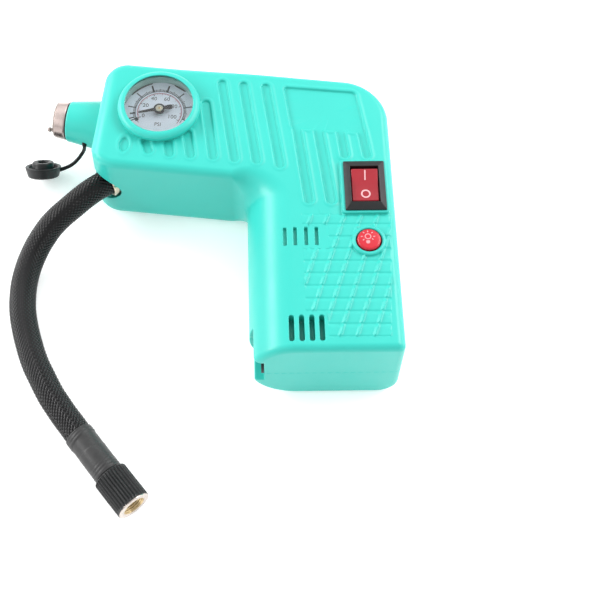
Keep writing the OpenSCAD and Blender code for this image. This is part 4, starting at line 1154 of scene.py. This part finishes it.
# ------------------------------------------------------------------ rubber cap and its strap
cap_at = frame_at((-88.2, 39.8, 8), (0.994, 0.1097, 0), (-0.0795, 0.7198, -0.6896), (-0.0757, 0.6854, 0.7242))
turned("rubber_cap", fillet([(0, -4.2), (5.8, -4.2), (6.25, -3.7), (7.1, -0.5), (7.2, -0.15), (6.9, 0.1), (6.2, 0.1), (5.8, -0.2), (5.55, -1.2), (4.6, -1.2),
                              (4.25, 1.4), (3.9, 1.9), (2.5, 1.9), (2.1, 1.5), (2.1, -2.2), (0, -2.2)],
                             [0, 0.5, 0.4, 0.1, 0.1, 0.12, 0.12, 0.2, 0.2, 0.25, 0.25, 0.2, 0.2, 0.15, 0.1, 0], 3), cap_at, "housing", "black_rubber", segs=80,
       replaces=["dust_cap"], sharp=60)
strap_points = [(-71.2, 46.9, 18.8), (-71.3, 45.5, 17.6), (-71.5, 45.55, 15.8), (-71.9, 45.9, 13.8), (-72.4, 46.0, 12.2), (-73.1, 45.6, 10.9), (-74.3, 44.5, 9.3),
                (-75.8, 43.2, 8), (-77.4, 42.1, 7.1), (-79.1, 41.2, 6.6), (-80.6, 40.3, 6.6), (-82.2, 39.6, 6.8)]
strap_route = smooth_path(strap_points, 0.25)
strap_len = float(strap_route[1][-1])


def strap_radius(S, TH):
    r = np.full(S.shape, 0.68)
    r += 0.55 * np.exp(-(S / 1.5) ** 2) + 0.20 * np.exp(-((strap_len - S) / 1.6) ** 2)
    return r * (1 + 0.10 * np.cos(2 * TH))


tv, tf, _ = tube(strap_route, 20, strap_radius)
strap = add("cap_tether", tv, tf, "housing", "black_rubber", replaces=["cap_strap"],
            material=plain("strap_rubber", (0.0025, 0.003, 0.0035), 0.5, vary=0.15, scale=260, grain=3800, lift=0.00002, ior=1.34))
outward(strap)

# ------------------------------------------------------------------ light and floor
world = bpy.data.worlds.new("studio")
scene.world = world
world.use_nodes = True
bg = world.node_tree.nodes["Background"]
bg.inputs["Color"].default_value = (1, 1, 1, 1)
bg.inputs["Strength"].default_value = 0.765


def softbox(name, loc, target, size, power, colour=(1, 1, 1)):
    d = bpy.data.lights.new(name, "AREA")
    d.shape = "RECTANGLE"
    d.size, d.size_y = size
    d.energy = power
    d.color = colour
    o = bpy.data.objects.new(name, d)
    scene.collection.objects.link(o)
    o.location = loc
    o.rotation_euler = (Vector(target) - Vector(loc)).to_track_quat("-Z", "Y").to_euler()
    return o


softbox("left", (-0.78, 0.10, 0.40), (0, 0, 0.02), (0.95, 0.28), 8.0)
softbox("right", (0.50, 0.32, 0.60), (0, 0, 0.02), (0.7, 0.3), 4.8)
softbox("right_low", (0.90, 0.34, 0.24), (0, 0, 0.02), (0.9, 0.3), 2.6)
softbox("back", (-0.05, 0.62, 0.66), (0, 0, 0.02), (1.6, 0.9), 2.0)
softbox("front_left", (-0.42, -0.62, 0.50), (0, 0, 0.02), (0.7, 0.5), 0.5)

me = bpy.data.meshes.new("floor")
me.from_pydata([(-3, -3, 0), (3, -3, 0), (3, 3, 0), (-3, 3, 0)], [], [(0, 1, 2, 3)])
floor_mat, nt, p = node_tree("floor")
link(nt, ramp(nt, noise(nt, coords(nt), 3), 0.3, 0.7, (0.93, 0.93, 0.93), (0.95, 0.95, 0.95)), p.inputs["Base Color"])
p.inputs["Roughness"].default_value = 0.9
p.inputs["Emission Color"].default_value = (1, 1, 1, 1)
p.inputs["Emission Strength"].default_value = 0.29
me.materials.append(floor_mat)
floor = bpy.data.objects.new("floor", me)
scene.collection.objects.link(floor)
